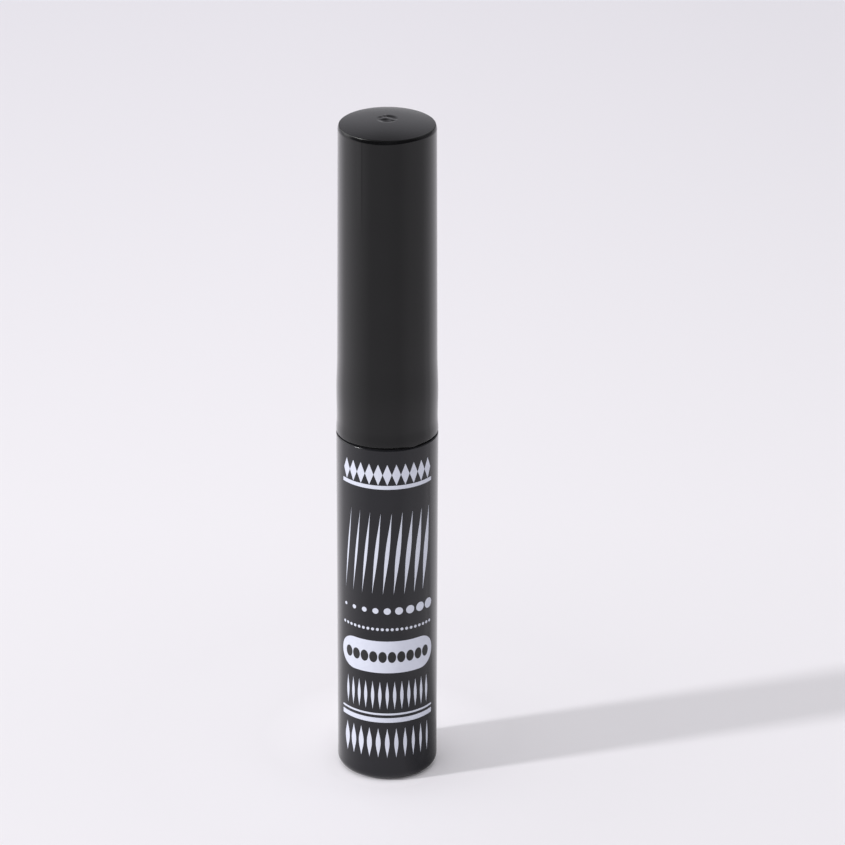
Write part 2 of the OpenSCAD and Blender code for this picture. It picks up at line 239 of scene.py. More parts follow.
paper, tree, surface, place = start_material("matt_paper_sweep", Roughness=0.9)
across = add_node(tree, "ShaderNodeSeparateXYZ", {0: place})
back_share = add_node(
    tree, "ShaderNodeMapRange",
    {"Value": across.outputs["Y"], "From Min": back_span[0], "From Max": back_span[1]},
)
# Painted shade, greyer far behind the pen.
back_shade_colour = add_node(tree, "ShaderNodeValToRGB", {"Fac": back_share}, painted_back_shade)
# Painted shade, a little darker to the right.
side_level = add_node(
    tree, "ShaderNodeMapRange",
    {
        "Value": across.outputs["X"], "From Min": right_shade_span[0], "From Max": right_shade_span[1],
        "To Min": 1.0, "To Max": right_shade,
    },
)
painted_shade_colour = add_node(
    tree, "ShaderNodeMix", {"Factor": 1.0, "A": back_shade_colour.outputs["Color"], "B": side_level},
    data_type="RGBA", blend_type="MULTIPLY",
)
# Painted light, paler close to the pen.
beside = add_node(tree, "ShaderNodeVectorMath", {0: place, 1: painted_light_centre}, operation="DISTANCE")
beside_share = add_node(
    tree, "ShaderNodeMapRange",
    {"Value": beside.outputs["Value"], "From Min": painted_light_span[0], "From Max": painted_light_span[1]},
)
lift = add_node(tree, "ShaderNodeValToRGB", {"Fac": beside_share}, painted_light_levels)
reach = add_node(tree, "ShaderNodeVectorMath", {0: place}, operation="LENGTH")
# Painted light, paler right at the pen's foot.
painted_foot_light = add_node(
    tree, "ShaderNodeMapRange",
    {
        "Value": reach.outputs["Value"], "From Min": foot_span[0], "From Max": foot_span[1],
        "To Min": 1.0, "To Max": past_foot_light_level,
    },
)
painted_light_factor = add_node(tree, "ShaderNodeMath", {0: lift.outputs["Color"], 1: painted_foot_light}, operation="MAXIMUM")
# The paper's colour with its painted shade and painted light.
lifted = add_node(
    tree, "ShaderNodeMix", {"Factor": 1.0, "A": painted_shade_colour.outputs["Result"], "B": painted_light_factor},
    data_type="RGBA", blend_type="MULTIPLY",
)
print("the paper's tint has", len(tree.nodes), "nodes")

# %% [markdown]
# ### The paper in the pen's gloss
#
# Black plastic shows little colour of its own: what is seen in it is the paper and the room. A real
# set shapes that with cards and flags, so here the paper looks a little different to glossy rays.
# It is dimmer in front of the pen and brighter behind it at both sides, which draws the pale edges
# of the pen and its dark middle. Light Path tells those rays from the others, so the light that falls
# on the pen stays plain. A bearing is compared with a direction by the cosine of the angle between
# them, from 1 for the same way to -1 for the opposite way; a reach is a distance from the pen.

# %% The paper in front and behind, as glossy rays see it
dim_turn = math.radians(25)
dim_cosines = (0.45, -0.55)
front_reach = (0.09, 0.19)
front_levels = (0.62, 0.48)
glow_cosines = (-0.74, -0.92)
glow_level = 1.3

path = add_node(tree, "ShaderNodeLightPath")
bearing = add_node(tree, "ShaderNodeVectorMath", {0: place}, operation="NORMALIZE")
to_front = add_node(
    tree, "ShaderNodeVectorMath", {0: bearing, 1: (math.sin(dim_turn), -math.cos(dim_turn), 0)},
    operation="DOT_PRODUCT",
)
front_level = add_node(
    tree, "ShaderNodeMapRange",
    {
        "Value": reach.outputs["Value"], "From Min": front_reach[0], "From Max": front_reach[1],
        "To Min": front_levels[0], "To Max": front_levels[1],
    },
)
dimming = add_node(
    tree, "ShaderNodeMapRange",
    {
        "Value": to_front.outputs["Value"], "From Min": dim_cosines[0], "From Max": dim_cosines[1],
        "To Min": front_level, "To Max": 1.0,
    },
)
glow = add_node(
    tree, "ShaderNodeMapRange",
    {
        "Value": to_front.outputs["Value"], "From Min": glow_cosines[0], "From Max": glow_cosines[1],
        "To Min": 1.0, "To Max": glow_level,
    },
)
print("mirrored in front at %.2f to %.2f of its tint, behind at %.1f" % (*front_levels, glow_level))

# %% The paper on the right and far away, as glossy rays see it
right_cosines = (0.45, 0.8)
right_reach = (10 * MM, 48 * MM)
right_levels = (0.45, 1.25)
far_span = (0.3, 0.55)
far_level = 0.55

right_level = add_node(
    tree, "ShaderNodeMapRange",
    {
        "Value": reach.outputs["Value"], "From Min": right_reach[0], "From Max": right_reach[1],
        "To Min": right_levels[0], "To Max": right_levels[1],
    },
)
to_right = add_node(tree, "ShaderNodeSeparateXYZ", {0: bearing})
right_glow = add_node(
    tree, "ShaderNodeMapRange",
    {
        "Value": to_right.outputs["X"], "From Min": right_cosines[0], "From Max": right_cosines[1],
        "To Min": 1.0, "To Max": right_level,
    },
)
far_dimming = add_node(
    tree, "ShaderNodeMapRange",
    {
        "Value": across.outputs["Y"], "From Min": far_span[0], "From Max": far_span[1],
        "To Min": 1.0, "To Max": far_level,
    },
)
glows = add_node(tree, "ShaderNodeMath", {0: glow, 1: right_glow}, operation="MULTIPLY")
near_level = add_node(tree, "ShaderNodeMath", {0: dimming, 1: glows}, operation="MULTIPLY")
dimmed = add_node(tree, "ShaderNodeMath", {0: near_level, 1: far_dimming}, operation="MULTIPLY")
mirrored_level = add_node(
    tree, "ShaderNodeMix", {"Factor": path.outputs["Is Glossy Ray"], "A": 1.0, "B": dimmed}
)
# The paper's colour with its painted light and shade, and its look for glossy rays.
painted_sheet_colour = add_node(
    tree, "ShaderNodeMix", {"Factor": 1.0, "A": lifted.outputs["Result"], "B": mirrored_level},
    data_type="RGBA", blend_type="MULTIPLY",
)
tree.links.new(painted_sheet_colour.outputs["Result"], surface.inputs["Base Color"])
print("with its look in the gloss it has", len(tree.nodes), "nodes")

# %% Floor sheet
floor_half = 3.0
floor_drop = 0.02 * MM

corners = [
    (x * floor_half, y * floor_half, -floor_drop) for x, y in [(-1, -1), (1, -1), (1, 1), (-1, 1)]
]
floor_mesh = bpy.data.meshes.new("floor")
floor_mesh.from_pydata(corners, [], [(0, 1, 2, 3)])
floor_mesh.materials.append(paper)
floor = bpy.data.objects.new("floor", floor_mesh)
bpy.context.scene.collection.objects.link(floor)
print("a sheet %.0f m wide, %.2f mm under the pen" % (2 * floor_half, floor_drop / MM))

# %% [markdown]
# ## The light
#
# One low lamp from the front left throws the long shadow to the right, and its width in the sky
# softens the shadow's edge. An area lamp could do the same, but it fades with distance and needs a
# place as well as a direction. A sun lamp needs only the direction, and its width is one angle.

# %% Key light
key_turn = math.radians(17.6)
key_height = math.radians(27)
key_width = math.radians(4.5)
key_strength = 1.65

key_data = bpy.data.lights.new("key", "SUN")
key_data.energy = key_strength
key_data.angle = key_width
key = bpy.data.objects.new("key", key_data)
key.rotation_euler = (math.pi / 2 - key_height, 0, key_turn - math.pi / 2)
bpy.context.scene.collection.objects.link(key)
print("key light from %.0f degrees up" % math.degrees(key_height))

# %% [markdown]
# ### The room
#
# All the other light comes from the pale room, more of it from above than from the sides. It could be
# built from white cards, each with its own lamp. The world shader gives the same soft light with a
# few nodes: its strength grows evenly from the darkest direction to the opposite one. The camera sees
# one plain pale tint instead.

# %% The room as plain light and the camera see it
fill_from = (-0.42, -0.45, 0.79)
fill_levels = (-0.07, 1.13)
backdrop = colour("#EEEBF2")

room = bpy.data.worlds.new("pale_room")
room.use_nodes = True
room_tree = room.node_tree
direction = add_node(room_tree, "ShaderNodeTexCoord").outputs["Generated"]
upward = add_node(room_tree, "ShaderNodeSeparateXYZ", {0: direction})
to_fill = add_node(
    room_tree, "ShaderNodeVectorMath", {0: direction, 1: fill_from}, operation="DOT_PRODUCT"
)
fill_level = add_node(
    room_tree, "ShaderNodeMapRange",
    {
        "Value": to_fill.outputs["Value"], "From Min": -1.0, "From Max": 1.0,
        "To Min": fill_levels[0], "To Max": fill_levels[1],
    },
)
path = add_node(room_tree, "ShaderNodeLightPath")
seen = add_node(
    room_tree, "ShaderNodeMix", {"Factor": path.outputs["Is Camera Ray"], "A": fill_level, "B": backdrop},
    data_type="RGBA",
)
print("plain light from %.2f to %.2f" % fill_levels)

# %% [markdown]
# ### The room in the pen's gloss
#
# The cap's top mirrors the room behind the pen. A picture of a real studio could be wrapped round the
# scene for that. A few ramps by angle do as well here, and each can be set to what the photograph
# shows. For glossy rays the room is brightest about 30 degrees up and dark overhead, which shades the
# top from back to front. It is dim in front, so that no veil lies on the black sides, and half as
# bright towards the sides as straight behind. One bright window behind on the left lights the rounded
# edges that face it.

# %% The room from low to high and from front to back, as glossy rays see it
# Each step of the ceiling is the height of a direction, from 0 level to 1 straight up, and a level.
ceiling = [
    (0, 0.36), (0.2, 0.42), (0.34, 0.52), (0.46, 0.58), (0.58, 0.56),
    (0.68, 0.4), (0.77, 0.21), (0.87, 0.12), (1, 0.1),
]
room_tint = (0.99, 0.975, 1.06)
front_span = (-0.45, 0.1)
front_dimmed = 0.13

heights = [(spot, tuple(share * level for share in room_tint) + (1,)) for spot, level in ceiling]
mirrored = add_node(room_tree, "ShaderNodeValToRGB", {"Fac": upward.outputs["Z"]}, heights)
glossy = add_node(
    room_tree, "ShaderNodeMath",
    {0: path.outputs["Is Glossy Ray"], 1: path.outputs["Is Transmission Ray"]}, operation="MAXIMUM",
)
behind_share = add_node(
    room_tree, "ShaderNodeMapRange",
    {
        "Value": upward.outputs["Y"], "From Min": front_span[0], "From Max": front_span[1],
        "To Min": front_dimmed, "To Max": 1.0,
    },
    interpolation_type="SMOOTHSTEP",
)
brightest = max(level for spot, level in ceiling)
print("mirrored at %.2f at most, and at %.2f of that in front" % (brightest, front_dimmed))

# %% The window and the sides of the room, as glossy rays see them
window_from = (-0.86, 0.4, 0.3)
window_cosines = (0.86, 0.96)
window_level = 1.4
middle_span = (0.1, 0.35)
side_dimmed = 0.5

to_window = add_node(
    room_tree, "ShaderNodeVectorMath", {0: direction, 1: window_from}, operation="DOT_PRODUCT"
)
window = add_node(
    room_tree, "ShaderNodeMapRange",
    {
        "Value": to_window.outputs["Value"], "From Min": window_cosines[0], "From Max": window_cosines[1],
        "To Min": 0.0, "To Max": window_level,
    },
)
aside = add_node(room_tree, "ShaderNodeMath", {0: upward.outputs["X"]}, operation="ABSOLUTE")
middle_share = add_node(
    room_tree, "ShaderNodeMapRange",
    {
        "Value": aside, "From Min": middle_span[0], "From Max": middle_span[1],
        "To Min": 1.0, "To Max": side_dimmed,
    },
)
shares = add_node(room_tree, "ShaderNodeMath", {0: behind_share, 1: middle_share}, operation="MULTIPLY")
shaded = add_node(
    room_tree, "ShaderNodeMix", {"Factor": 1.0, "A": mirrored.outputs["Color"], "B": shares},
    data_type="RGBA", blend_type="MULTIPLY",
)
lit = add_node(
    room_tree, "ShaderNodeMix", {"Factor": 1.0, "A": shaded.outputs["Result"], "B": window},
    data_type="RGBA", blend_type="ADD",
)
shown = add_node(
    room_tree, "ShaderNodeMix", {"Factor": glossy, "A": seen.outputs["Result"], "B": lit.outputs["Result"]},
    data_type="RGBA",
)
room_tree.links.new(shown.outputs["Result"], room_tree.nodes["Background"].inputs["Color"])
bpy.context.scene.world = room
bpy.context.scene.view_settings.view_transform = "Standard"
print("the room has", len(room_tree.nodes), "nodes")

# %% [markdown]
# ## Finishes of the mouldings
#
# Cap and bottle are injection moulded in ABS, filled with black pigment. The cap's tool is finely
# sparked, which gives a satin skin: the reflections are there but blurred, and no grain can be seen
# from a step away. The bottle's tool is polished, so it mirrors the paper. Both get the index of
# refraction of ABS, 1.54, a nearly black pigment and a little sheen, which stands for the haze of
# handling that lightens black plastic at grazing angles. A narrow band of the cap's top edge is
# rubbed duller than the rest, and so is the bottle's shoulder, so the gloss follows the height.
# A slow waviness, left by shrinkage, keeps both from looking machined. An image texture could carry
# all this, but it needs unwrapping and shows its pixels from close by, so it is mixed from noises.
# The sparked grain is really about a twentieth of a millimetre wide; it is drawn at 0.12 mm, or it
# could not show at all.

# %% A black moulding
mottle_size = 6 * MM
wave_size = 4 * MM


def moulded_black(name, pigment, gloss_levels, spread, grain, grain_depth, wave_depth, haze):
    """Black plastic with a mottled gloss, a fine grain from its tool and a slow waviness."""
    material, tree, surface, place = start_material(name, IOR=1.54, Sheen_Weight=haze, Sheen_Roughness=0.3)
    mottle = add_node(tree, "ShaderNodeTexNoise", {"Vector": place, "Scale": 1 / mottle_size, "Detail": 3.0})
    shade = add_node(
        tree, "ShaderNodeMix",
        {"Factor": mottle.outputs["Fac"], "A": colour(pigment[0]), "B": colour(pigment[1])}, data_type="RGBA",
    )
    tree.links.new(shade.outputs["Result"], surface.inputs["Base Color"])
    height = add_node(tree, "ShaderNodeSeparateXYZ", {0: place})
    low, high = gloss_levels[0][0], gloss_levels[-1][0]
    level = add_node(
        tree, "ShaderNodeMapRange", {"Value": height.outputs["Z"], "From Min": low, "From Max": high}
    )
    steps = [((z - low) / (high - low), roughness) for z, roughness in gloss_levels]
    gloss = add_node(tree, "ShaderNodeValToRGB", {"Fac": level}, steps)
    uneven = add_node(
        tree, "ShaderNodeMapRange", {"Value": mottle.outputs["Fac"], "To Min": -spread, "To Max": spread}
    )
    roughness = add_node(tree, "ShaderNodeMath", {0: gloss, 1: uneven}, operation="ADD")
    tree.links.new(roughness.outputs["Value"], surface.inputs["Roughness"])
    fine = add_node(tree, "ShaderNodeTexNoise", {"Vector": place, "Scale": 1 / grain, "Detail": 2.0})
    fine_bump = add_node(
        tree, "ShaderNodeBump", {"Height": fine.outputs["Fac"], "Strength": 1.0, "Distance": grain_depth}
    )
    slow = add_node(tree, "ShaderNodeTexNoise", {"Vector": place, "Scale": 1 / wave_size, "Detail": 1.0})
    slow_bump = add_node(
        tree, "ShaderNodeBump",
        {"Height": slow.outputs["Fac"], "Strength": 1.0, "Distance": wave_depth, "Normal": fine_bump},
    )
    tree.links.new(slow_bump.outputs["Normal"], surface.inputs["Normal"])
    return material


# %% Satin ABS of the cap
# Moulded in a sparked tool: satin, so the paper is seen in it as soft pale edges with a dark middle.
satin, rubbed = 0.14, 0.36
cap_gloss = [
    (cap_top_z - 1.7 * MM, satin), (cap_top_z - 1.0 * MM, satin), (cap_top_z - 0.97 * MM, rubbed),
    (cap_top_z - 0.88 * MM, rubbed), (cap_top_z - 0.86 * MM, 0.16),
]
cap_black = moulded_black(
    "satin_moulded_abs", ("#080809", "#0D0D0E"), cap_gloss, spread=0.03, grain=0.12 * MM,
    grain_depth=0.0008 * MM, wave_depth=0.002 * MM, haze=0.25,
)
print("cap: roughness", satin, "and", rubbed, "where it is rubbed")

# %% [markdown]
# ### The parting line
#
# The cap's mould opens in two halves, which leaves a faint step down its side. The step is far too
# low to be worth faces, so it is made in the bump: the surface climbs slowly, drops at the line, and
# the step fades out down the side.

# %% Parting line of the cap's mould
parting_turn = math.radians(31)
parting_step = 0.03 * MM
line_span = (-0.8 * MM, 0.2 * MM)
line_rise = [(0, 0.0), (0.8, 1.0), (0.97, 0.0), (1, 0.0)]
line_ends = (cap_top_z - 17 * MM, cap_top_z - 0.9 * MM)
line_strength = [(0, 0.0), (0.5, 1.0), (0.97, 1.0), (1, 0.0)]

tree = cap_black.node_tree
surface = tree.nodes["Principled BSDF"]
place = add_node(tree, "ShaderNodeTexCoord").outputs["Object"]
from_line = add_node(
    tree, "ShaderNodeVectorMath", {0: place, 1: (math.cos(parting_turn), -math.sin(parting_turn), 0)},
    operation="DOT_PRODUCT",
)
line_share = add_node(
    tree, "ShaderNodeMapRange",
    {"Value": from_line.outputs["Value"], "From Min": line_span[0], "From Max": line_span[1]},
)
line_step = add_node(tree, "ShaderNodeValToRGB", {"Fac": line_share}, line_rise)
line_height = add_node(tree, "ShaderNodeSeparateXYZ", {0: place})
line_reach = add_node(
    tree, "ShaderNodeMapRange",
    {"Value": line_height.outputs["Z"], "From Min": line_ends[0], "From Max": line_ends[1]},
)
line_fade = add_node(tree, "ShaderNodeValToRGB", {"Fac": line_reach}, line_strength)
line_shape = add_node(tree, "ShaderNodeMath", {0: line_step, 1: line_fade}, operation="MULTIPLY")
skin = surface.inputs["Normal"].links[0].from_socket
line_bump = add_node(
    tree, "ShaderNodeBump", {"Height": line_shape, "Strength": 1.0, "Distance": parting_step, "Normal": skin}
)
tree.links.new(line_bump.outputs["Normal"], surface.inputs["Normal"])
print("parting line: %.1f mm long" % ((line_ends[1] - line_ends[0]) / MM))

# %% Gloss ABS of the bottle
# Moulded in a polished tool: glossy, so its sides mirror the paper, and only the shoulder is dull.
# Its grain is no tool mark but a shallow ripple in the polish, half a millimetre wide.
polished, worn = 0.07, 0.32
bottle_gloss = [
    (0, polished), (bottle_top_z - 0.22 * MM, polished),
    (bottle_top_z - 0.1 * MM, worn), (bottle_top_z, worn),
]
bottle_black = moulded_black(
    "gloss_moulded_abs", ("#16161A", "#1A1A1F"), bottle_gloss, spread=0.02, grain=0.5 * MM,
    grain_depth=0.0003 * MM, wave_depth=0.002 * MM, haze=0.2,
)
print("bottle: roughness", polished, "and", worn, "at the shoulder")

# %% [markdown]
# ## Turned shapes
#
# The bottle and the cap are both shapes of revolution: an outline turned about the axis. A thread is
# the same idea with one change, the outline climbs while it turns. The Screw modifier makes both, but
# it can't let a thread run out into the wall at its ends. So one node tree serves all of them. It
# lays a grid with a row for each ring and a column for each point of the outline, and moves each grid
# point to where its outline point has turned to. A thread also fades in and out, by shrinking its
# outline towards the foot.

# %% The tree that turns an outline
def sweep_tree():
    """Turns an outline about the axis, climbing by its lead, as many times as it has starts."""
    tree, inside = start_tree(
        "Outline swept round the axis",
        {
            "Steps": "Int", "Turns": "Float", "Lead": "Float", "Fade steps": "Int",
            "Foot": "Vector", "Starts": "Int", "Material": "Material",
        },
    )
    outline, steps, starts = inside.outputs["Geometry"], inside.outputs["Steps"], inside.outputs["Starts"]
    count = add_node(tree, "GeometryNodeAttributeDomainSize", {"Geometry": outline})
    rings = add_node(tree, "ShaderNodeMath", {0: steps, 1: 1.0}, operation="ADD")
    grid = add_node(tree, "GeometryNodeMeshGrid", {"Vertices X": rings, "Vertices Y": count})
    index = add_node(tree, "GeometryNodeInputIndex")
    part = add_node(tree, "ShaderNodeMath", {0: index, 1: count}, operation="DIVIDE")
    ring = add_node(tree, "ShaderNodeMath", {0: part}, operation="FLOOR")
    station = add_node(tree, "ShaderNodeMath", {0: index, 1: count}, operation="MODULO")
    point = add_node(
        tree, "GeometryNodeSampleIndex",
        {"Geometry": outline, "Value": add_node(tree, "GeometryNodeInputPosition"), "Index": station},
        data_type="FLOAT_VECTOR",
    )
    to_end = add_node(tree, "ShaderNodeMath", {0: steps, 1: ring}, operation="SUBTRACT")
    nearest = add_node(tree, "ShaderNodeMath", {0: ring, 1: to_end}, operation="MINIMUM")
    faded = add_node(
        tree, "ShaderNodeMath", {0: nearest, 1: inside.outputs["Fade steps"]}, operation="DIVIDE"
    )
    plain = add_node(
        tree, "ShaderNodeMath", {0: inside.outputs["Fade steps"], 1: 0.5}, operation="LESS_THAN"
    )
    size = add_node(tree, "ShaderNodeMath", {0: faded, 1: plain}, operation="ADD", use_clamp=True)
    reach = add_node(
        tree, "ShaderNodeVectorMath", {0: point, 1: inside.outputs["Foot"]}, operation="SUBTRACT"
    )
    scaled = add_node(tree, "ShaderNodeVectorMath", {0: reach, "Scale": size}, operation="SCALE")
    placed = add_node(tree, "ShaderNodeVectorMath", {0: scaled, 1: inside.outputs["Foot"]}, operation="ADD")
    turned_share = add_node(tree, "ShaderNodeMath", {0: ring, 1: steps}, operation="DIVIDE")
    turned = add_node(
        tree, "ShaderNodeMath", {0: turned_share, 1: inside.outputs["Turns"]}, operation="MULTIPLY"
    )
    angle = add_node(tree, "ShaderNodeMath", {0: turned, 1: 2 * math.pi}, operation="MULTIPLY")
    swung = add_node(
        tree, "ShaderNodeVectorRotate", {"Vector": placed, "Angle": angle}, rotation_type="Z_AXIS"
    )
    climb = add_node(tree, "ShaderNodeMath", {0: turned, 1: inside.outputs["Lead"]}, operation="MULTIPLY")
    lift = add_node(tree, "ShaderNodeCombineXYZ", {"Z": climb})
    risen = add_node(tree, "ShaderNodeVectorMath", {0: swung, 1: lift}, operation="ADD")
    swept = add_node(tree, "GeometryNodeSetPosition", {"Geometry": grid, "Position": risen})
    closed = add_node(tree, "GeometryNodeMergeByDistance", {"Geometry": swept, "Distance": WELD})
    seats = add_node(tree, "GeometryNodePoints", {"Count": starts})
    seat = add_node(
        tree, "ShaderNodeMath", {0: add_node(tree, "GeometryNodeInputIndex"), 1: starts}, operation="DIVIDE"
    )
    seat_angle = add_node(tree, "ShaderNodeMath", {0: seat, 1: 2 * math.pi}, operation="MULTIPLY")
    seat_turn = add_node(tree, "ShaderNodeCombineXYZ", {"Z": seat_angle})
    copies = add_node(
        tree, "GeometryNodeInstanceOnPoints", {"Points": seats, "Instance": closed, "Rotation": seat_turn}
    )
    return finish_tree(tree, inside, copies)


sweep = sweep_tree()
print("the sweep tree has", len(sweep.nodes), "nodes")

# %% [markdown]
# ## Outlines
#
# An outline is a list of radius and height, walked from the axis round the shape and back. It could
# be drawn as a curve with handles, but a list of points keeps exactly to the real sizes. Rounded
# edges are arcs. Long straight runs get a guard point close to each end: smooth shading blends a
# face with its neighbours, and the guard keeps that blend next to the rounded edge where it belongs.

# %% Helpers for outlines
def arc(centre, radius, start, stop, steps=10):
    """Points along an arc, with angles in degrees."""
    angles = [math.radians(start + (stop - start) * i / steps) for i in range(steps + 1)]
    return [(centre[0] + radius * math.cos(a), centre[1] + radius * math.sin(a)) for a in angles]


def guarded(outline, guard=0.03 * MM):
    """Adds guard points near both ends of each run that is longer than six guards."""
    points = []
    for (r0, z0), (r1, z1) in zip(outline, outline[1:]):
        points.append((r0, z0))
        length = math.hypot(r1 - r0, z1 - z0)
        if length > 6 * guard:
            share = guard / length
            points += [(r0 + (r1 - r0) * t, z0 + (z1 - z0) * t) for t in (share, 1 - share)]
    return points + [outline[-1]]


def outline_mesh(name, outline):
    """Makes a mesh of the outline's points in the plane of the X and Z axes."""
    mesh = bpy.data.meshes.new(name)
    chain = [(i, i + 1) for i in range(len(outline) - 1)]
    mesh.from_pydata([(r, 0, z) for r, z in outline], chain, [])
    return mesh


def turn(name, outline, material, steps=192):
    """Turns an outline whose two ends lie on the axis once round it."""
    base = outline_mesh(name + "_outline", guarded(outline))
    print("%s: an outline of %d points in %d steps" % (name, len(base.vertices), steps))
    return grow(name, sweep, base, Steps=steps, Turns=1.0, Starts=1, Material=material)


# %% [markdown]
# ## The bottle
#
# A thick-walled moulding: a foot ring round a shallow recess, straight sides, a flat shoulder and a
# neck with a two-start thread. It could be a cylinder with its edges bevelled and a Solidify modifier
# for the wall, but a real bottle's wall is thicker in some places than in others. So the outline goes
# up the outside, over the neck's rim and down the cavity. The shell then has its real wall everywhere
# and closes on itself at the axis.

# %% Bottle
# A mould's sides lean a little, the draft, so that the bottle comes out of it: it is slimmer below.
draft = 0.07 * MM
base_edge_r = 1.5 * MM
shoulder_edge_r = 0.2 * MM
recess_r = 5.2 * MM
recess_depth = 0.4 * MM
floor_t = 2.2 * MM
cavity_r = 5.6 * MM
cavity_edge_r = 1.2 * MM
cavity_top_z = bottle_top_z - 1.2 * MM
cavity_cone_h = 2.5 * MM
neck_r = 4.68 * MM
neck_bore_r = 3.58 * MM
neck_edge_r = 0.25 * MM
fillet_r = 0.15 * MM

base_r = bottle_r - draft
bottle_outline = (
    [(0, recess_depth), (recess_r, recess_depth), (recess_r, 0)]
    + arc((base_r - base_edge_r, base_edge_r), base_edge_r, -90, 0, 16)
    + arc((bottle_r - shoulder_edge_r, bottle_top_z - shoulder_edge_r), shoulder_edge_r, 0, 90)
    + arc((neck_r + fillet_r, bottle_top_z + fillet_r), fillet_r, 270, 180, 6)
    + arc((neck_r - neck_edge_r, neck_top_z - neck_edge_r), neck_edge_r, 0, 90)
    + [(neck_bore_r, neck_top_z), (neck_bore_r, cavity_top_z), (cavity_r, cavity_top_z - cavity_cone_h)]
    + arc((cavity_r - cavity_edge_r, floor_t + cavity_edge_r), cavity_edge_r, 0, -90)
    + [(0, floor_t)]
)
bottle = turn("bottle_moulding", bottle_outline, bottle_black)
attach(bottle, "bottle")
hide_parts("bottle")

# %% [markdown]
# ### The neck's thread
#
# Two threads start on opposite sides, so the cap climbs 4 mm in one turn and still has short, strong
# ridges. The same tree sweeps the ridge's section: its lead makes it climb and its ends fade into the
# neck. A Boolean could weld it to the neck, but would cut the neck's even faces into slivers. It
# stays a piece of its own, whose foot is sunk in the wall, so that no gap can open under it.

# %% Thread on the neck
thread_lead = 4 * MM
thread_starts = 2
thread_turns = 1.35
thread_depth = 0.65 * MM
thread_crest_w = 0.59 * MM
thread_sink = 0.3 * MM
thread_edge_r = 0.1 * MM
flank = math.tan(math.radians(25))
thread_facets = 64
fade_facets = thread_facets // 6
thread_low_z = bottle_top_z + (neck_top_z - bottle_top_z - thread_lead * thread_turns) / 2
# The crest's rounding, in shares of its radius: in from the crest, and towards the ridge's middle.
rounding_shares = [(1, -flank), (0.3, 0.2), (0, 1)]

foot_r = neck_r - thread_sink
crest_r = neck_r + thread_depth
crest_half = thread_crest_w / 2
foot_half = crest_half + (crest_r - foot_r) * flank
upper_side = [(foot_r, foot_half)]
for inward, to_middle in rounding_shares:
    upper_side.append((crest_r - inward * thread_edge_r, crest_half - to_middle * thread_edge_r))
thread_section = [(r, -h) for r, h in upper_side] + upper_side[::-1] + [(foot_r, -foot_half)]
thread_section = [(r, thread_low_z + h) for r, h in thread_section]

thread = grow(
    "neck_thread", sweep, outline_mesh("thread_section", thread_section),
    Steps=round(thread_turns * thread_facets), Turns=thread_turns, Lead=thread_lead,
    Fade_steps=fade_facets, Foot=(foot_r, 0.0, thread_low_z), Starts=thread_starts,
    Material=bottle_black,
)
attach(thread, "bottle")

# %% [markdown]
# ## The cap
#
# The cap narrows very slightly towards the top, with a soft waist just above the rim and a faint
# swelling where the threaded insert presses it outwards from inside. The top is gently crowned, and
# in its middle is the gate: the shallow dimple where the plastic was let into the mould. The top's
# edge is not one round bend: a long soft bend leans inwards, and a tight one turns it into the crown.
# Light from the low lamp glints along the tight bend, and the soft one mirrors the dark in front. A
# cylinder with one bevel would do from far off, but its edge would catch the light as one even ring.

# %% Sizes of the cap
rim_edge_r = 0.15 * MM
crown_h = 0.85 * MM
top_inset = 0.37 * MM
crown_inset = 0.26 * MM
cap_wall = 1.15 * MM
cap_top_t = 1.7 * MM
gate_r = 1.7 * MM
gate_flat_r = 0.48 * gate_r
gate_depth = 0.2 * MM
# The side's waist and swelling: heights above the rim, and how far in the side stands there.
stations = [(0, 0), (2.2 * MM, 0.09 * MM), (6.2 * MM, 0.035 * MM), (12.5 * MM, 0.175 * MM)]
# The soft part of the top's edge: from one tilt to the next, in degrees, with the bend's radius.
edge_bends = [(0, 11, 0.5 * MM), (11, 21, 2.9 * MM)]

cap_top_r = bottle_r - top_inset
crown_chord = cap_top_r - crown_inset
crown_r = (crown_chord**2 + crown_h**2) / (2 * crown_h)
crown_slope = math.asin(crown_chord / crown_r)
cap_edge_z = cap_top_z - crown_h
hollow_top_z = cap_top_z - cap_top_t
print("the crown meets the edge at %.1f degrees" % math.degrees(crown_slope))

# %% Helpers for the cap's outline
bend_steps = 8


def ease(t):
    """Smooth step from 0 to 1 with level ends."""
    return (1 - math.cos(math.pi * t)) / 2


def bend(radius, low, high):
    """Inward and upward run of a rounding between two tilts of its surface, in degrees."""
    low, high = math.radians(low), math.radians(high)
    return radius * (math.cos(low) - math.cos(high)), radius * (math.sin(high) - math.sin(low))


def top_edge():
    """Points from the side up to the crown: a long soft bend, then a tight one."""
    crown_tilt = 90 - math.degrees(crown_slope)
    soft_inset = sum(bend(radius, low, high)[0] for low, high, radius in edge_bends)
    tight_low = edge_bends[-1][1]
    tight_r = (crown_inset - soft_inset) / bend(1, tight_low, crown_tilt)[0]
    bends = edge_bends + [(tight_low, crown_tilt, tight_r)]
    drop = sum(bend(radius, low, high)[1] for low, high, radius in bends)
    r, z = cap_top_r, cap_edge_z - drop
    points = []
    for low, high, radius in bends:
        for i in range(bend_steps):
            inward, upward = bend(radius, low, low + (high - low) * i / bend_steps)
            points.append((r - inward, z + upward))
        inward, upward = bend(radius, low, high)
        r, z = r - inward, z + upward
    print("top edge: %.2f mm high, its tight bend %.2f mm" % (drop / MM, tight_r / MM))
    return points


def top_z(r):
    """Height of the crowned top at a radius, with the gate's dimple in its middle."""
    dip = gate_depth * (1 - ease(min(1, max(0, (r - gate_flat_r) / (gate_r - gate_flat_r)))))
    return cap_top_z - crown_r + math.sqrt(crown_r**2 - r**2) - dip


# %% Cap
# Inside, a pocket takes the threaded insert, whose bead snaps into a round groove in the pocket's wall.
pocket_r = bottle_r - cap_wall
web_top_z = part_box("seal_washer")[1].z + 1.6 * MM
insert_r = pocket_r - 0.17 * MM
snap_r = 0.32 * MM
snap_z = rim_z + 6.2 * MM
snap_half_angle = 57.9
side_steps = 12
crown_steps = 12
crown_rings = 9
dimple_steps = 30

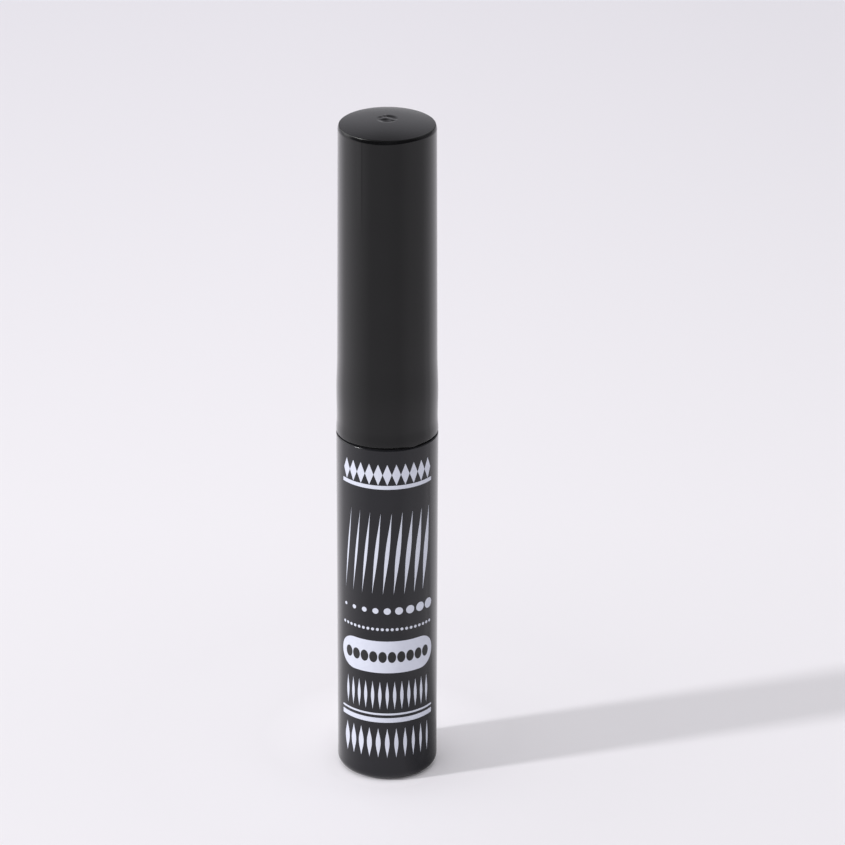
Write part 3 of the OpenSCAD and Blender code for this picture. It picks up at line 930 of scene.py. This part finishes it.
side = []
for low, high in zip(stations, stations[1:]):
    for k in range(side_steps):
        inset = low[1] + (high[1] - low[1]) * ease(k / side_steps)
        side.append((bottle_r - inset, rim_z + low[0] + (high[0] - low[0]) * k / side_steps))
# The rim's own rounding takes the place of the first point.
side = side[1:] + [(bottle_r - stations[-1][1], rim_z + stations[-1][0])]
crown_radii = [crown_chord * (1 - i / crown_steps) for i in range(crown_rings)]
dimple_radii = [gate_r * (1 - i / dimple_steps) for i in range(dimple_steps + 1)]
rounded_edge = top_edge()
edge_low_z = rounded_edge[0][1]
hollow = (
    [(0, hollow_top_z), (cap_top_r - cap_wall, hollow_top_z)]
    + [(bottle_r - stations[-1][1] - cap_wall, web_top_z), (pocket_r, web_top_z)]
    + arc((insert_r, snap_z), snap_r, snap_half_angle, -snap_half_angle, 8)
    + [(pocket_r, rim_z)]
)
cap_outline = (
    hollow
    + arc((bottle_r - rim_edge_r, rim_z + rim_edge_r), rim_edge_r, -90, 0)
    + side
    + rounded_edge
    + [(r, top_z(r)) for r in crown_radii + dimple_radii]
)
cap = turn("cap_moulding", cap_outline, cap_black)

# %% [markdown]
# ### The torn gate, the rim and the top's edge
#
# When the cap left the mould, the plastic broke off at the gate and left a small ragged stub in the
# dimple, with a lip drawn out behind it and a ridge on its right. It follows no rule. By hand it would
# be sculpted; in a script it is a short table that can be read and changed: a handful of swellings and
# one hollow, each with its place, size, turn and rise. The moulding is not quite true elsewhere
# either. Slow waves and one low spot on the rim make the dark seam thicker here and thinner there,
# the top's edge is a little shorter in front on the right, and its back stands a tenth of a
# millimetre higher. All this moves points of the finished mesh up or down.

# %% Helpers for the torn gate, the rim and the edge
# Swellings in the dimple, in mm: centre across and back, half length, half width, turn in degrees, rise.
swellings = [
    (-0.25, 0.22, 0.6, 0.48, 15, 0.16), (-0.9, 0.15, 0.4, 0.3, 10, 0.06),
    (0.95, -0.35, 0.6, 0.26, -50, 0.14), (-0.3, 1.2, 0.5, 0.16, 100, 0.2),
    (-0.85, 0.95, 0.7, 0.4, 150, 0.11), (-0.1, -0.95, 0.9, 0.3, 0, -0.05),
]
# Waves round the rim: how many, where they start, in radians, and half their height in mm.
rim_waves = [(1, 2.2, 0.05), (3, 0.4, 0.03), (8, 0, 0.012)]
# Bumps round the axis: bearing from the right and half width, in radians, and rise in mm.
rim_bumps = [(-1.06, 0.13, -0.2)]
edge_bumps = [(-0.95, 0.4, 0.2), (-1.8, 0.3, -0.05)]


def torn_rise(x, y):
    """Rise of the torn plastic in the dimple, fading out at the dimple's edge."""
    rise = 0
    for centre_x, centre_y, length, width, degrees, height in swellings:
        turn_angle = math.radians(degrees)
        dx, dy = x / MM - centre_x, y / MM - centre_y
        along = (dx * math.cos(turn_angle) + dy * math.sin(turn_angle)) / length
        across = (dy * math.cos(turn_angle) - dx * math.sin(turn_angle)) / width
        rise += height * math.exp(-(along**2 + across**2))
    return rise * MM * (1 - (math.hypot(x, y) / gate_r) ** 4)


def bump_rise(angle, bumps):
    """Rise at a bearing from smooth bumps round the axis."""
    return MM * sum(rise * math.exp(-(((angle - centre) / width) ** 2)) for centre, width, rise in bumps)


def rim_wave(angle):
    """Unevenness of the rim at a bearing."""
    waves = sum(height * math.sin(count * angle + start) for count, start, height in rim_waves)
    return MM * waves + bump_rise(angle, rim_bumps)


print("the rim's low spot: %.2f mm" % (rim_wave(rim_bumps[0][0]) / MM))

# %% Torn gate, uneven rim and edge
back_lift = 0.11 * MM
rim_reach = 0.5 * MM
edge_foot_z = edge_low_z - 0.1 * MM

for vertex in cap.data.vertices:
    x, y, z = vertex.co
    r, angle = math.hypot(x, y), math.atan2(y, x)
    if r < gate_r and z > hollow_top_z + cap_top_t / 2:
        vertex.co.z += torn_rise(x, y)
    if z < rim_z + rim_reach:
        vertex.co.z += rim_wave(angle) * (1 - (z - rim_z) / rim_reach)
    if edge_foot_z < z < cap_edge_z and r > crown_chord:
        edge_share = max(0, (z - edge_low_z) / (cap_edge_z - edge_low_z))
        vertex.co.z += bump_rise(angle, edge_bumps) * (1 - edge_share)
    if z > edge_foot_z:
        vertex.co.z += back_lift * (max(0, y) / cap_top_r) ** 2
highest = max(v.co.z for v in cap.data.vertices)
print("cap top with its torn gate: %.2f mm" % (highest / MM))

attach(cap, "cap")
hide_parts("cap_shell")

# %% [markdown]
# ### Stop ribs
#
# Inside the cap, ribs on its wall end just above the threaded insert and stop it from being pushed in
# too far. They are one rib, a bevelled block, set round the axis six times. An Array modifier turned
# by an empty object does that too; an instancing tree needs no helper object, only a count. Past the
# insert the ribs can hardly be seen, but the cap is whole.

# %% The tree that sets copies round the axis
def circle_tree():
    """Sets copies of a mesh evenly round the axis."""
    tree, inside = start_tree("Copies set round the axis", {"Count": "Int", "Material": "Material"})
    count = inside.outputs["Count"]
    seats = add_node(tree, "GeometryNodePoints", {"Count": count})
    share = add_node(
        tree, "ShaderNodeMath", {0: add_node(tree, "GeometryNodeInputIndex"), 1: count}, operation="DIVIDE"
    )
    angle = add_node(tree, "ShaderNodeMath", {0: share, 1: 2 * math.pi}, operation="MULTIPLY")
    copy_turn = add_node(tree, "ShaderNodeCombineXYZ", {"Z": angle})
    copies = add_node(
        tree, "GeometryNodeInstanceOnPoints",
        {"Points": seats, "Instance": inside.outputs["Geometry"], "Rotation": copy_turn},
    )
    return finish_tree(tree, inside, copies)


# %% Stop ribs
rib_count = 6
rib_half = 0.4 * MM
rib_depth = 1.1 * MM
rib_sink = 0.3 * MM
rib_bevel = 0.12 * MM
rib_low_z = web_top_z + 0.02 * MM
rib_out_r = cap_top_r - cap_wall + rib_sink
rib_in_r = cap_top_r - cap_wall - rib_depth

edit = bmesh.new()
bmesh.ops.create_cube(edit, size=1)
for vert in edit.verts:
    vert.co.x = rib_out_r if vert.co.x > 0 else rib_in_r
    vert.co.y = math.copysign(rib_half, vert.co.y)
    vert.co.z = hollow_top_z + rib_sink if vert.co.z > 0 else rib_low_z
lead_edges = [e for e in edit.edges if all(v.co.x < rib_out_r and v.co.z == rib_low_z for v in e.verts)]
lead_edges += [e for e in edit.edges if all(v.co.x < rib_out_r for v in e.verts) and e not in lead_edges]
bmesh.ops.bevel(edit, geom=lead_edges, offset=rib_bevel, segments=2, affect="EDGES")
rib_mesh = bpy.data.meshes.new("stop_rib")
edit.to_mesh(rib_mesh)
edit.free()
ribs = grow("stop_ribs", circle_tree(), rib_mesh, Count=rib_count, Material=cap_black)
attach(ribs, "cap")

# %% [markdown]
# ## The printed decoration
#
# The bottle is decorated by screen printing: it rolls under a stencil, and each opening leaves a film
# of opaque ink about two hundredths of a millimetre thick. The decoration here is a plain pattern of
# lozenges, tapering strokes, dots and rules. It could be painted on with a texture, but a real film
# has a crisp edge and a thickness, and geometry keeps both from close by. Every row is one motif
# repeated, so one node tree makes them all: it sets the motif along a straight row, lets its size
# grow from the first to the last, slants it, and rolls the row round the bottle's tapering side.

# %% The tree that prints a row
def print_tree():
    """Sets a motif along a row, from its first to its last size, and rolls the row round the bottle."""
    tree, inside = start_tree(
        "Motifs printed in a row round the bottle",
        {
            "Count": "Int", "Row width": "Float", "Level": "Float", "Cuts": "Int", "First size": "Vector",
            "Last size": "Vector", "Slant": "Float", "Base radius": "Float", "Draft share": "Float",
            "Material": "Material",
        },
    )
    count = inside.outputs["Count"]
    last = add_node(tree, "ShaderNodeMath", {0: count, 1: 1.0}, operation="SUBTRACT")
    share = add_node(
        tree, "ShaderNodeMath", {0: add_node(tree, "GeometryNodeInputIndex"), 1: last}, operation="DIVIDE"
    )
    centred = add_node(tree, "ShaderNodeMath", {0: share, 1: 0.5}, operation="SUBTRACT")
    along = add_node(
        tree, "ShaderNodeMath", {0: centred, 1: inside.outputs["Row width"]}, operation="MULTIPLY"
    )
    seats = add_node(
        tree, "GeometryNodePoints",
        {"Count": count, "Position": add_node(tree, "ShaderNodeCombineXYZ", {"X": along})},
    )
    size = add_node(
        tree, "ShaderNodeMix",
        {"Factor": share, 4: inside.outputs["First size"], 5: inside.outputs["Last size"]},
        data_type="VECTOR",
    )
    row = add_node(
        tree, "GeometryNodeInstanceOnPoints",
        {"Points": seats, "Instance": inside.outputs["Geometry"], "Scale": size.outputs[1]},
    )
    real = add_node(tree, "GeometryNodeRealizeInstances", {"Geometry": row})
    cut = add_node(tree, "GeometryNodeSubdivideMesh", {"Mesh": real, "Level": inside.outputs["Cuts"]})
    flat = add_node(tree, "ShaderNodeSeparateXYZ", {0: add_node(tree, "GeometryNodeInputPosition")})
    lean = add_node(
        tree, "ShaderNodeMath",
        {0: flat.outputs["Y"], 1: inside.outputs["Slant"], 2: flat.outputs["X"]}, operation="MULTIPLY_ADD",
    )
    level = add_node(
        tree, "ShaderNodeMath", {0: flat.outputs["Y"], 1: inside.outputs["Level"]}, operation="ADD"
    )
    wall = add_node(
        tree, "ShaderNodeMath",
        {0: level, 1: inside.outputs["Draft share"], 2: inside.outputs["Base radius"]},
        operation="MULTIPLY_ADD",
    )
    radius = add_node(tree, "ShaderNodeMath", {0: wall, 1: flat.outputs["Z"]}, operation="ADD")
    angle = add_node(
        tree, "ShaderNodeMath", {0: lean, 1: inside.outputs["Base radius"]}, operation="DIVIDE"
    )
    from_front = add_node(tree, "ShaderNodeMath", {0: angle, 1: math.pi / 2}, operation="SUBTRACT")
    upright = add_node(tree, "ShaderNodeCombineXYZ", {"X": radius, "Z": level})
    rolled = add_node(
        tree, "ShaderNodeVectorRotate", {"Vector": upright, "Angle": from_front}, rotation_type="Z_AXIS"
    )
    return finish_tree(
        tree, inside, add_node(tree, "GeometryNodeSetPosition", {"Geometry": cut, "Position": rolled})
    )


printing = print_tree()
print("the printing tree has", len(printing.nodes), "nodes")

# %% [markdown]
# Each motif is a flat slab 2 wide and 2 high, later scaled to size. It is cut into upright strips, so
# that it can bend round the bottle, and its outline is one formula: the half height at each place
# across it. The slab starts a little below the surface, so no gap can open under the ink.

# %% Motifs
film = 0.02 * MM
# The slab's lower and upper face, in thicknesses of the film.
slab_low, slab_high = -0.5, 1.0
motif_weld = 1e-5


def motif(name, half_height, strips=16):
    """Makes a slab whose half height follows a formula, from -1 at its left end to 1 at its right."""
    edit = bmesh.new()
    columns = []
    for i in range(strips + 1):
        s = -math.cos(math.pi * i / strips)
        h = half_height(s)
        corners = [(-h, slab_low), (h, slab_low), (h, slab_high), (-h, slab_high)]
        columns.append([edit.verts.new((s, y, z)) for y, z in corners])
    for left, right in zip(columns, columns[1:]):
        for k in range(4):
            edit.faces.new((left[k], right[k], right[(k + 1) % 4], left[(k + 1) % 4]))
    edit.faces.new(columns[0])
    edit.faces.new(columns[-1][::-1])
    bmesh.ops.remove_doubles(edit, verts=edit.verts, dist=motif_weld)
    bmesh.ops.dissolve_degenerate(edit, edges=edit.edges, dist=motif_weld)
    mesh = bpy.data.meshes.new(name)
    edit.to_mesh(mesh)
    edit.free()
    print("%s: %d points" % (name, len(mesh.vertices)))
    return mesh


def round_half(s):
    """Half height of a disc."""
    return math.sqrt(max(0, 1 - s * s))


def stroke_half(s, fullness=0.7):
    """Half height of an upright stroke that swells in its middle and ends in two points."""
    return 2 / math.pi * math.acos(min(1, abs(s) ** fullness))


def pill_half(s, end_share=0.34):
    """Half height of a bar with round ends, whose ends take a share of its half width."""
    past = (abs(s) - 1 + end_share) / end_share
    return 1.0 if past <= 0 else math.sqrt(max(0, 1 - past**2))


lozenge = motif("lozenge", lambda s: 1 - abs(s), 8)
dot = motif("dot", round_half)
stroke = motif("stroke", stroke_half, 12)
rule = motif("rule", lambda s: 1.0, 64)
pill = motif("pill", pill_half, 64)

# %% [markdown]
# ### Screen inks
#
# Screen ink is thick paste pressed through a woven mesh. It dries matt and opaque, with the faint
# dimples of the mesh in it and a slightly uneven tint where it flowed. A real mesh has about a
# hundred threads to the centimetre, 0.1 mm apart; the dimples are drawn at 0.12 mm.

# %% Screen inks
flow_size = 0.7 * MM
mesh_spacing = 0.12 * MM
mesh_depth = 0.002 * MM

# White pigment in a clear binder, printed: opaque and matt, so it keeps its pale tint all round.
white_ink, tree, surface, place = start_material("matt_white_screen_ink", Roughness=0.6, IOR=1.45)
flow = add_node(tree, "ShaderNodeTexNoise", {"Vector": place, "Scale": 1 / flow_size, "Detail": 3.0})
cover = add_node(
    tree, "ShaderNodeMix",
    {"Factor": flow.outputs["Fac"], "A": colour("#C8CBDA"), "B": colour("#D2D5E2")}, data_type="RGBA",
)
tree.links.new(cover.outputs["Result"], surface.inputs["Base Color"])
mesh_marks = add_node(tree, "ShaderNodeTexNoise", {"Vector": place, "Scale": 1 / mesh_spacing})
ink_bump = add_node(
    tree, "ShaderNodeBump", {"Height": mesh_marks.outputs["Fac"], "Strength": 1.0, "Distance": mesh_depth}
)
tree.links.new(ink_bump.outputs["Normal"], surface.inputs["Normal"])

# Carbon black in the same binder, printed over the white: dull, and a little greyer than the bottle.
black_ink_gloss = [(0, 0.45), (bottle_top_z, 0.45)]
black_ink = moulded_black(
    "matt_black_screen_ink", ("#1B1B1D", "#222224"), black_ink_gloss, spread=0.05, grain=mesh_spacing,
    grain_depth=mesh_depth, wave_depth=0.001 * MM, haze=0.0,
)
print("inks:", white_ink.name, "and", black_ink.name)

# %% [markdown]
# ### The rows
#
# Eleven rows follow each other down the bottle. Only the pill-shaped band is printed over: its dots
# are black ink, lifted by the thickness of the white film. The tapering strokes lean, so they are cut
# finer than the rest to lie close to the round side.

# %% Printed rows
draft_share = draft / bottle_top_z


def print_row(name, shape, count, width, level, first, last=None, slant=0.0, cuts=0, ink=white_ink, lift=0.0):
    """Prints a row: its width, level and the first and last motif's width and height, in mm."""
    sizes = [(w * MM / 2, h * MM / 2, film) for w, h in (first, last or first)]
    row = grow(
        name, printing, shape, Count=count, Row_width=width * MM, Level=level * MM, Cuts=cuts,
        First_size=sizes[0], Last_size=sizes[1], Slant=slant, Base_radius=base_r + lift,
        Draft_share=draft_share, Material=ink,
    )
    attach(row, "bottle")


print_row("frieze_lozenges", lozenge, 11, 13.4, 50.3, (1.3, 3.3))
print_row("frieze_rule", rule, 1, 0, 48.3, (15.2, 0.6))
print_row("tapering_strokes", stroke, 9, 12.8, 37.6, (0.3, 13.2), (0.85, 13.2), slant=0.1, cuts=3)
print_row("growing_dots", dot, 9, 14.0, 28.3, (0.5, 0.5), (1.6, 1.6))
print_row("small_dots", dot, 21, 14.6, 25.3, (0.46, 0.46))
print_row("band", pill, 1, 0, 20.75, (15.8, 5.2))
print_row("band_dots", dot, 10, 12.6, 20.75, (1.25, 1.8), ink=black_ink, lift=film)
print_row("short_strokes", stroke, 13, 13.2, 14.4, (0.5, 4.6))
print_row("thin_rule", rule, 1, 0, 11.3, (15.8, 0.3))
print_row("thick_rule", rule, 1, 0, 10.3, (15.8, 0.75))
print_row("closing_strokes", stroke, 11, 13.6, 6.5, (0.95, 4.9), (0.4, 4.9))

# %% [markdown]
# ## The brush
#
# The tuft is a bundle of tapered synthetic hairs, folded over a wire in the end of the stem. Wet with
# ink they close up to a long point. Blender has hair curves of its own, but what leaves this scene is
# plain mesh, and a few hundred hairs are light enough for that. They are one thin cone, repeated:
# each copy takes a seat in the bundle by the golden angle, which fills a disc evenly, and follows the
# tuft's rounded outline inwards as it nears the tip. Outer hairs end a little earlier, as in a shaped
# brush.

# %% The tree that grows the tuft
golden_angle = math.pi * (3 - math.sqrt(5))
early_share = 0.3
taper_power = 0.6


def tuft_tree():
    """Fills a disc with hairs and draws them together to a point."""
    tree, inside = start_tree(
        "Hairs drawn to a point",
        {
            "Hairs": "Int", "Tuft radius": "Float", "Root level": "Float", "Stem level": "Float",
            "Tip level": "Float", "Hair radius": "Float", "Fullness": "Float", "Seed": "Int",
            "Material": "Material",
        },
    )
    count = inside.outputs["Hairs"]
    index = add_node(tree, "GeometryNodeInputIndex")
    turn_of = add_node(tree, "ShaderNodeMath", {0: index, 1: golden_angle}, operation="MULTIPLY")
    filled = add_node(tree, "ShaderNodeMath", {0: index, 1: count}, operation="DIVIDE")
    seat_share = add_node(tree, "ShaderNodeMath", {0: filled, 1: 0.5}, operation="POWER")
    chance = add_node(tree, "FunctionNodeRandomValue", {"Seed": inside.outputs["Seed"]}, data_type="FLOAT")
    seat = add_node(
        tree, "ShaderNodeCombineXYZ", {"X": seat_share, "Y": turn_of, "Z": chance.outputs[1]}
    )
    seats = add_node(tree, "GeometryNodePoints", {"Count": count})
    known = add_node(
        tree, "GeometryNodeStoreNamedAttribute", {"Geometry": seats, "Name": "seat", "Value": seat},
        data_type="FLOAT_VECTOR", domain="POINT",
    )
    shaped = add_node(
        tree, "GeometryNodeStoreNamedAttribute",
        {
            "Geometry": inside.outputs["Geometry"], "Name": "part",
            "Value": add_node(tree, "GeometryNodeInputPosition"),
        },
        data_type="FLOAT_VECTOR", domain="POINT",
    )
    bundle = add_node(tree, "GeometryNodeInstanceOnPoints", {"Points": known, "Instance": shaped})
    real = add_node(tree, "GeometryNodeRealizeInstances", {"Geometry": bundle})
    part = add_node(
        tree, "ShaderNodeSeparateXYZ",
        {0: add_node(tree, "GeometryNodeInputNamedAttribute", {"Name": "part"}, data_type="FLOAT_VECTOR")},
    )
    own = add_node(
        tree, "ShaderNodeSeparateXYZ",
        {0: add_node(tree, "GeometryNodeInputNamedAttribute", {"Name": "seat"}, data_type="FLOAT_VECTOR")},
    )
    reach = add_node(
        tree, "ShaderNodeMath", {0: inside.outputs["Stem level"], 1: inside.outputs["Tip level"]},
        operation="SUBTRACT",
    )
    early = add_node(tree, "ShaderNodeMath", {0: own.outputs["X"], 1: own.outputs["Z"]}, operation="MULTIPLY")
    early = add_node(tree, "ShaderNodeMath", {0: early, 1: early_share}, operation="MULTIPLY")
    end = add_node(
        tree, "ShaderNodeMath", {0: early, 1: reach, 2: inside.outputs["Tip level"]}, operation="MULTIPLY_ADD"
    )
    level = add_node(
        tree, "ShaderNodeMapRange",
        {"Value": part.outputs["Z"], "To Min": inside.outputs["Root level"], "To Max": end},
    )
    above_tip = add_node(
        tree, "ShaderNodeMath", {0: level, 1: inside.outputs["Tip level"]}, operation="SUBTRACT"
    )
    from_tip = add_node(tree, "ShaderNodeMath", {0: above_tip, 1: reach}, operation="DIVIDE", use_clamp=True)
    to_stem = add_node(tree, "ShaderNodeMath", {0: 1.0, 1: from_tip}, operation="SUBTRACT")
    hollowed = add_node(
        tree, "ShaderNodeMath", {0: to_stem, 1: inside.outputs["Fullness"]}, operation="POWER"
    )
    belly = add_node(tree, "ShaderNodeMath", {0: 1.0, 1: hollowed}, operation="SUBTRACT")
    room = add_node(
        tree, "ShaderNodeMath", {0: inside.outputs["Tuft radius"], 1: inside.outputs["Hair radius"]},
        operation="SUBTRACT",
    )
    width = add_node(tree, "ShaderNodeMath", {0: belly, 1: room}, operation="MULTIPLY")
    radius = add_node(tree, "ShaderNodeMath", {0: width, 1: own.outputs["X"]}, operation="MULTIPLY")
    taper = add_node(tree, "ShaderNodeMath", {0: 1.0, 1: part.outputs["Z"]}, operation="SUBTRACT")
    taper = add_node(tree, "ShaderNodeMath", {0: taper, 1: taper_power}, operation="POWER")
    thickness = add_node(
        tree, "ShaderNodeMath", {0: taper, 1: inside.outputs["Hair radius"]}, operation="MULTIPLY"
    )
    flat_part = add_node(tree, "ShaderNodeCombineXYZ", {"X": part.outputs["X"], "Y": part.outputs["Y"]})
    round_part = add_node(
        tree, "ShaderNodeVectorMath", {0: flat_part, "Scale": thickness}, operation="SCALE"
    )
    centre = add_node(tree, "ShaderNodeCombineXYZ", {"X": radius, "Z": level})
    swung = add_node(
        tree, "ShaderNodeVectorRotate", {"Vector": centre, "Angle": own.outputs["Y"]}, rotation_type="Z_AXIS"
    )
    placed = add_node(tree, "ShaderNodeVectorMath", {0: swung, 1: round_part}, operation="ADD")
    hairs = add_node(tree, "GeometryNodeSetPosition", {"Geometry": real, "Position": placed})
    for name in ("seat", "part"):
        hairs = add_node(tree, "GeometryNodeRemoveAttribute", {"Geometry": hairs, "Name": name})
    return finish_tree(tree, inside, hairs)


tuft_growth = tuft_tree()
print("the tuft tree has", len(tuft_growth.nodes), "nodes")

# %% [markdown]
# ### One hair and its finish
#
# A hair is a cone with four sides and fourteen lengths, enough to bend smoothly and still light,
# because it is repeated. It is drawn with a radius of 1 and a length of 1, and the tree scales it.
# Real hairs of such a brush are about 0.07 mm thick at the root; these are 0.09 mm, so that 280 of
# them fill the tuft.

# %% One hair
hair_sides = 4
hair_lengths = 14

hair = bmesh.new()
hair_rings = []
for i in range(hair_lengths):
    angles = [2 * math.pi * k / hair_sides for k in range(hair_sides)]
    hair_rings.append([hair.verts.new((math.cos(a), math.sin(a), i / hair_lengths)) for a in angles])
point = hair.verts.new((0, 0, 1))
for low, high in zip(hair_rings, hair_rings[1:]):
    for k in range(hair_sides):
        hair.faces.new((low[k], low[(k + 1) % hair_sides], high[(k + 1) % hair_sides], high[k]))
for k in range(hair_sides):
    hair.faces.new((hair_rings[-1][k], hair_rings[-1][(k + 1) % hair_sides], point))
hair.faces.new(hair_rings[0][::-1])
hair_mesh = bpy.data.meshes.new("hair")
hair.to_mesh(hair_mesh)
hair.free()
print("one hair has", len(hair_mesh.polygons), "faces")

# %% Inked hair
# Drawn nylon, wet with black ink: smooth and glossy, nearly black, brown where the hair shows through.
streak_width = 0.06 * MM
streak_length = 1.5 * MM

wet_hair, tree, surface, place = start_material("inked_nylon_hair", Roughness=0.25, IOR=1.53)
lengthwise = add_node(
    tree, "ShaderNodeMapping",
    {"Vector": place, "Scale": (1 / streak_width, 1 / streak_width, 1 / streak_length)},
)
strand = add_node(tree, "ShaderNodeTexNoise", {"Vector": lengthwise, "Scale": 1.0})
stain = add_node(
    tree, "ShaderNodeMix",
    {"Factor": strand.outputs["Fac"], "A": colour("#0A0908"), "B": colour("#2A211C")}, data_type="RGBA",
)
tree.links.new(stain.outputs["Result"], surface.inputs["Base Color"])
print("streaks %.2f mm wide" % (streak_width / MM))

# %% Brush tuft
hair_count = 280
hair_r = 0.045 * MM
tuft_fullness = 2.2
tuft_seed = 3
tuft_low, tuft_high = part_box("brush_tuft")
stem_low_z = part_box("stem")[0].z

tuft = grow(
    "brush_hairs", tuft_growth, hair_mesh, Hairs=hair_count, Tuft_radius=tuft_high.x,
    Root_level=tuft_high.z, Stem_level=stem_low_z, Tip_level=tuft_low.z, Hair_radius=hair_r,
    Fullness=tuft_fullness, Seed=tuft_seed, Material=wet_hair,
)
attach(tuft, "cap")
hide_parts("brush_tuft")

# %% [markdown]
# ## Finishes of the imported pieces
#
# The wiper, the washer, the insert, the stem, the wire, the label and the ink keep the packed
# model's own meshes, whose shapes are right, and get a finish each. They show when the cap is off,
# or from below. Each finish is one noise that tints the surface and raises it, at the scale of the
# real one; a stretch draws it out along a rod or round a wire.

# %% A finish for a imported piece
def dress(node, name, shades, roughness, scale, depth, stretch=(1, 1, 1), **shader):
    """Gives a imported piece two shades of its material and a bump, both at a real scale."""
    material, tree, surface, place = start_material(name, Roughness=roughness, **shader)
    drawn = add_node(tree, "ShaderNodeMapping", {"Vector": place, "Scale": stretch})
    texture = add_node(tree, "ShaderNodeTexNoise", {"Vector": drawn, "Scale": 1 / scale, "Detail": 3.0})
    shade = add_node(
        tree, "ShaderNodeMix",
        {"Factor": texture.outputs["Fac"], "A": colour(shades[0]), "B": colour(shades[1])}, data_type="RGBA",
    )
    tree.links.new(shade.outputs["Result"], surface.inputs["Base Color"])
    bump = add_node(
        tree, "ShaderNodeBump", {"Height": texture.outputs["Fac"], "Strength": 1.0, "Distance": depth}
    )
    tree.links.new(bump.outputs["Normal"], surface.inputs["Normal"])
    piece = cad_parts[node]
    piece.data.materials.clear()
    piece.data.materials.append(material)
    print("%s: %s, pattern %.2f mm" % (node, name, scale / MM))


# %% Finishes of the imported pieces
# Uncoloured polyethylene, moulded: soft, waxy and milky, with a dull gloss.
dress(
    "wiper", "natural_ldpe_moulding", ("#D9D6CC", "#E6E3DA"), roughness=0.42,
    scale=1.2 * MM, depth=0.004 * MM, IOR=1.51,
)
# Blown polyethylene, punched from a sheet: matt, with a fine pitting where the cells are cut open.
dress(
    "seal_washer", "closed_cell_pe_foam", ("#DDDBD2", "#F0EEE6"), roughness=0.75,
    scale=0.12 * MM, depth=0.02 * MM, IOR=1.5,
)
# Polypropylene with black pigment, moulded: a dull sheen, duller than the cap's.
dress(
    "inner_cap", "black_polypropylene_moulding", ("#141416", "#1C1C1F"), roughness=0.38,
    scale=0.5 * MM, depth=0.003 * MM, IOR=1.49,
)
# Acetal with black pigment, moulded: hard and slick, with faint marks along the rod.
dress(
    "stem", "black_acetal_rod", ("#0B0B0D", "#131315"), roughness=0.18,
    scale=0.8 * MM, depth=0.002 * MM, stretch=(1, 1, 0.1), IOR=1.48,
)
# Brass drawn through a die: bright yellow metal with fine scratches along the wire.
dress(
    "tuft_anchor", "drawn_brass_wire", ("#B08D45", "#C9A860"), roughness=0.3,
    scale=0.05 * MM, depth=0.001 * MM, stretch=(0.05, 1, 1), Metallic=1.0,
)
# Coated paper, die cut: white and even, with a weak gloss over the fibres.
dress(
    "base_label", "coated_label_paper", ("#DEDEE2", "#E8E8EB"), roughness=0.5,
    scale=0.15 * MM, depth=0.002 * MM, IOR=1.5,
)
# Carbon black in water: mirror smooth, and the blackest thing in the pen.
dress(
    "ink", "black_liquid_ink", ("#030304", "#060607"), roughness=0.06,
    scale=3.0 * MM, depth=0.001 * MM, IOR=1.36,
)

# %% [markdown]
# ## The end
#
# The scene is brought up to date.

# %% Bring the scene up to date
bpy.context.view_layer.update()
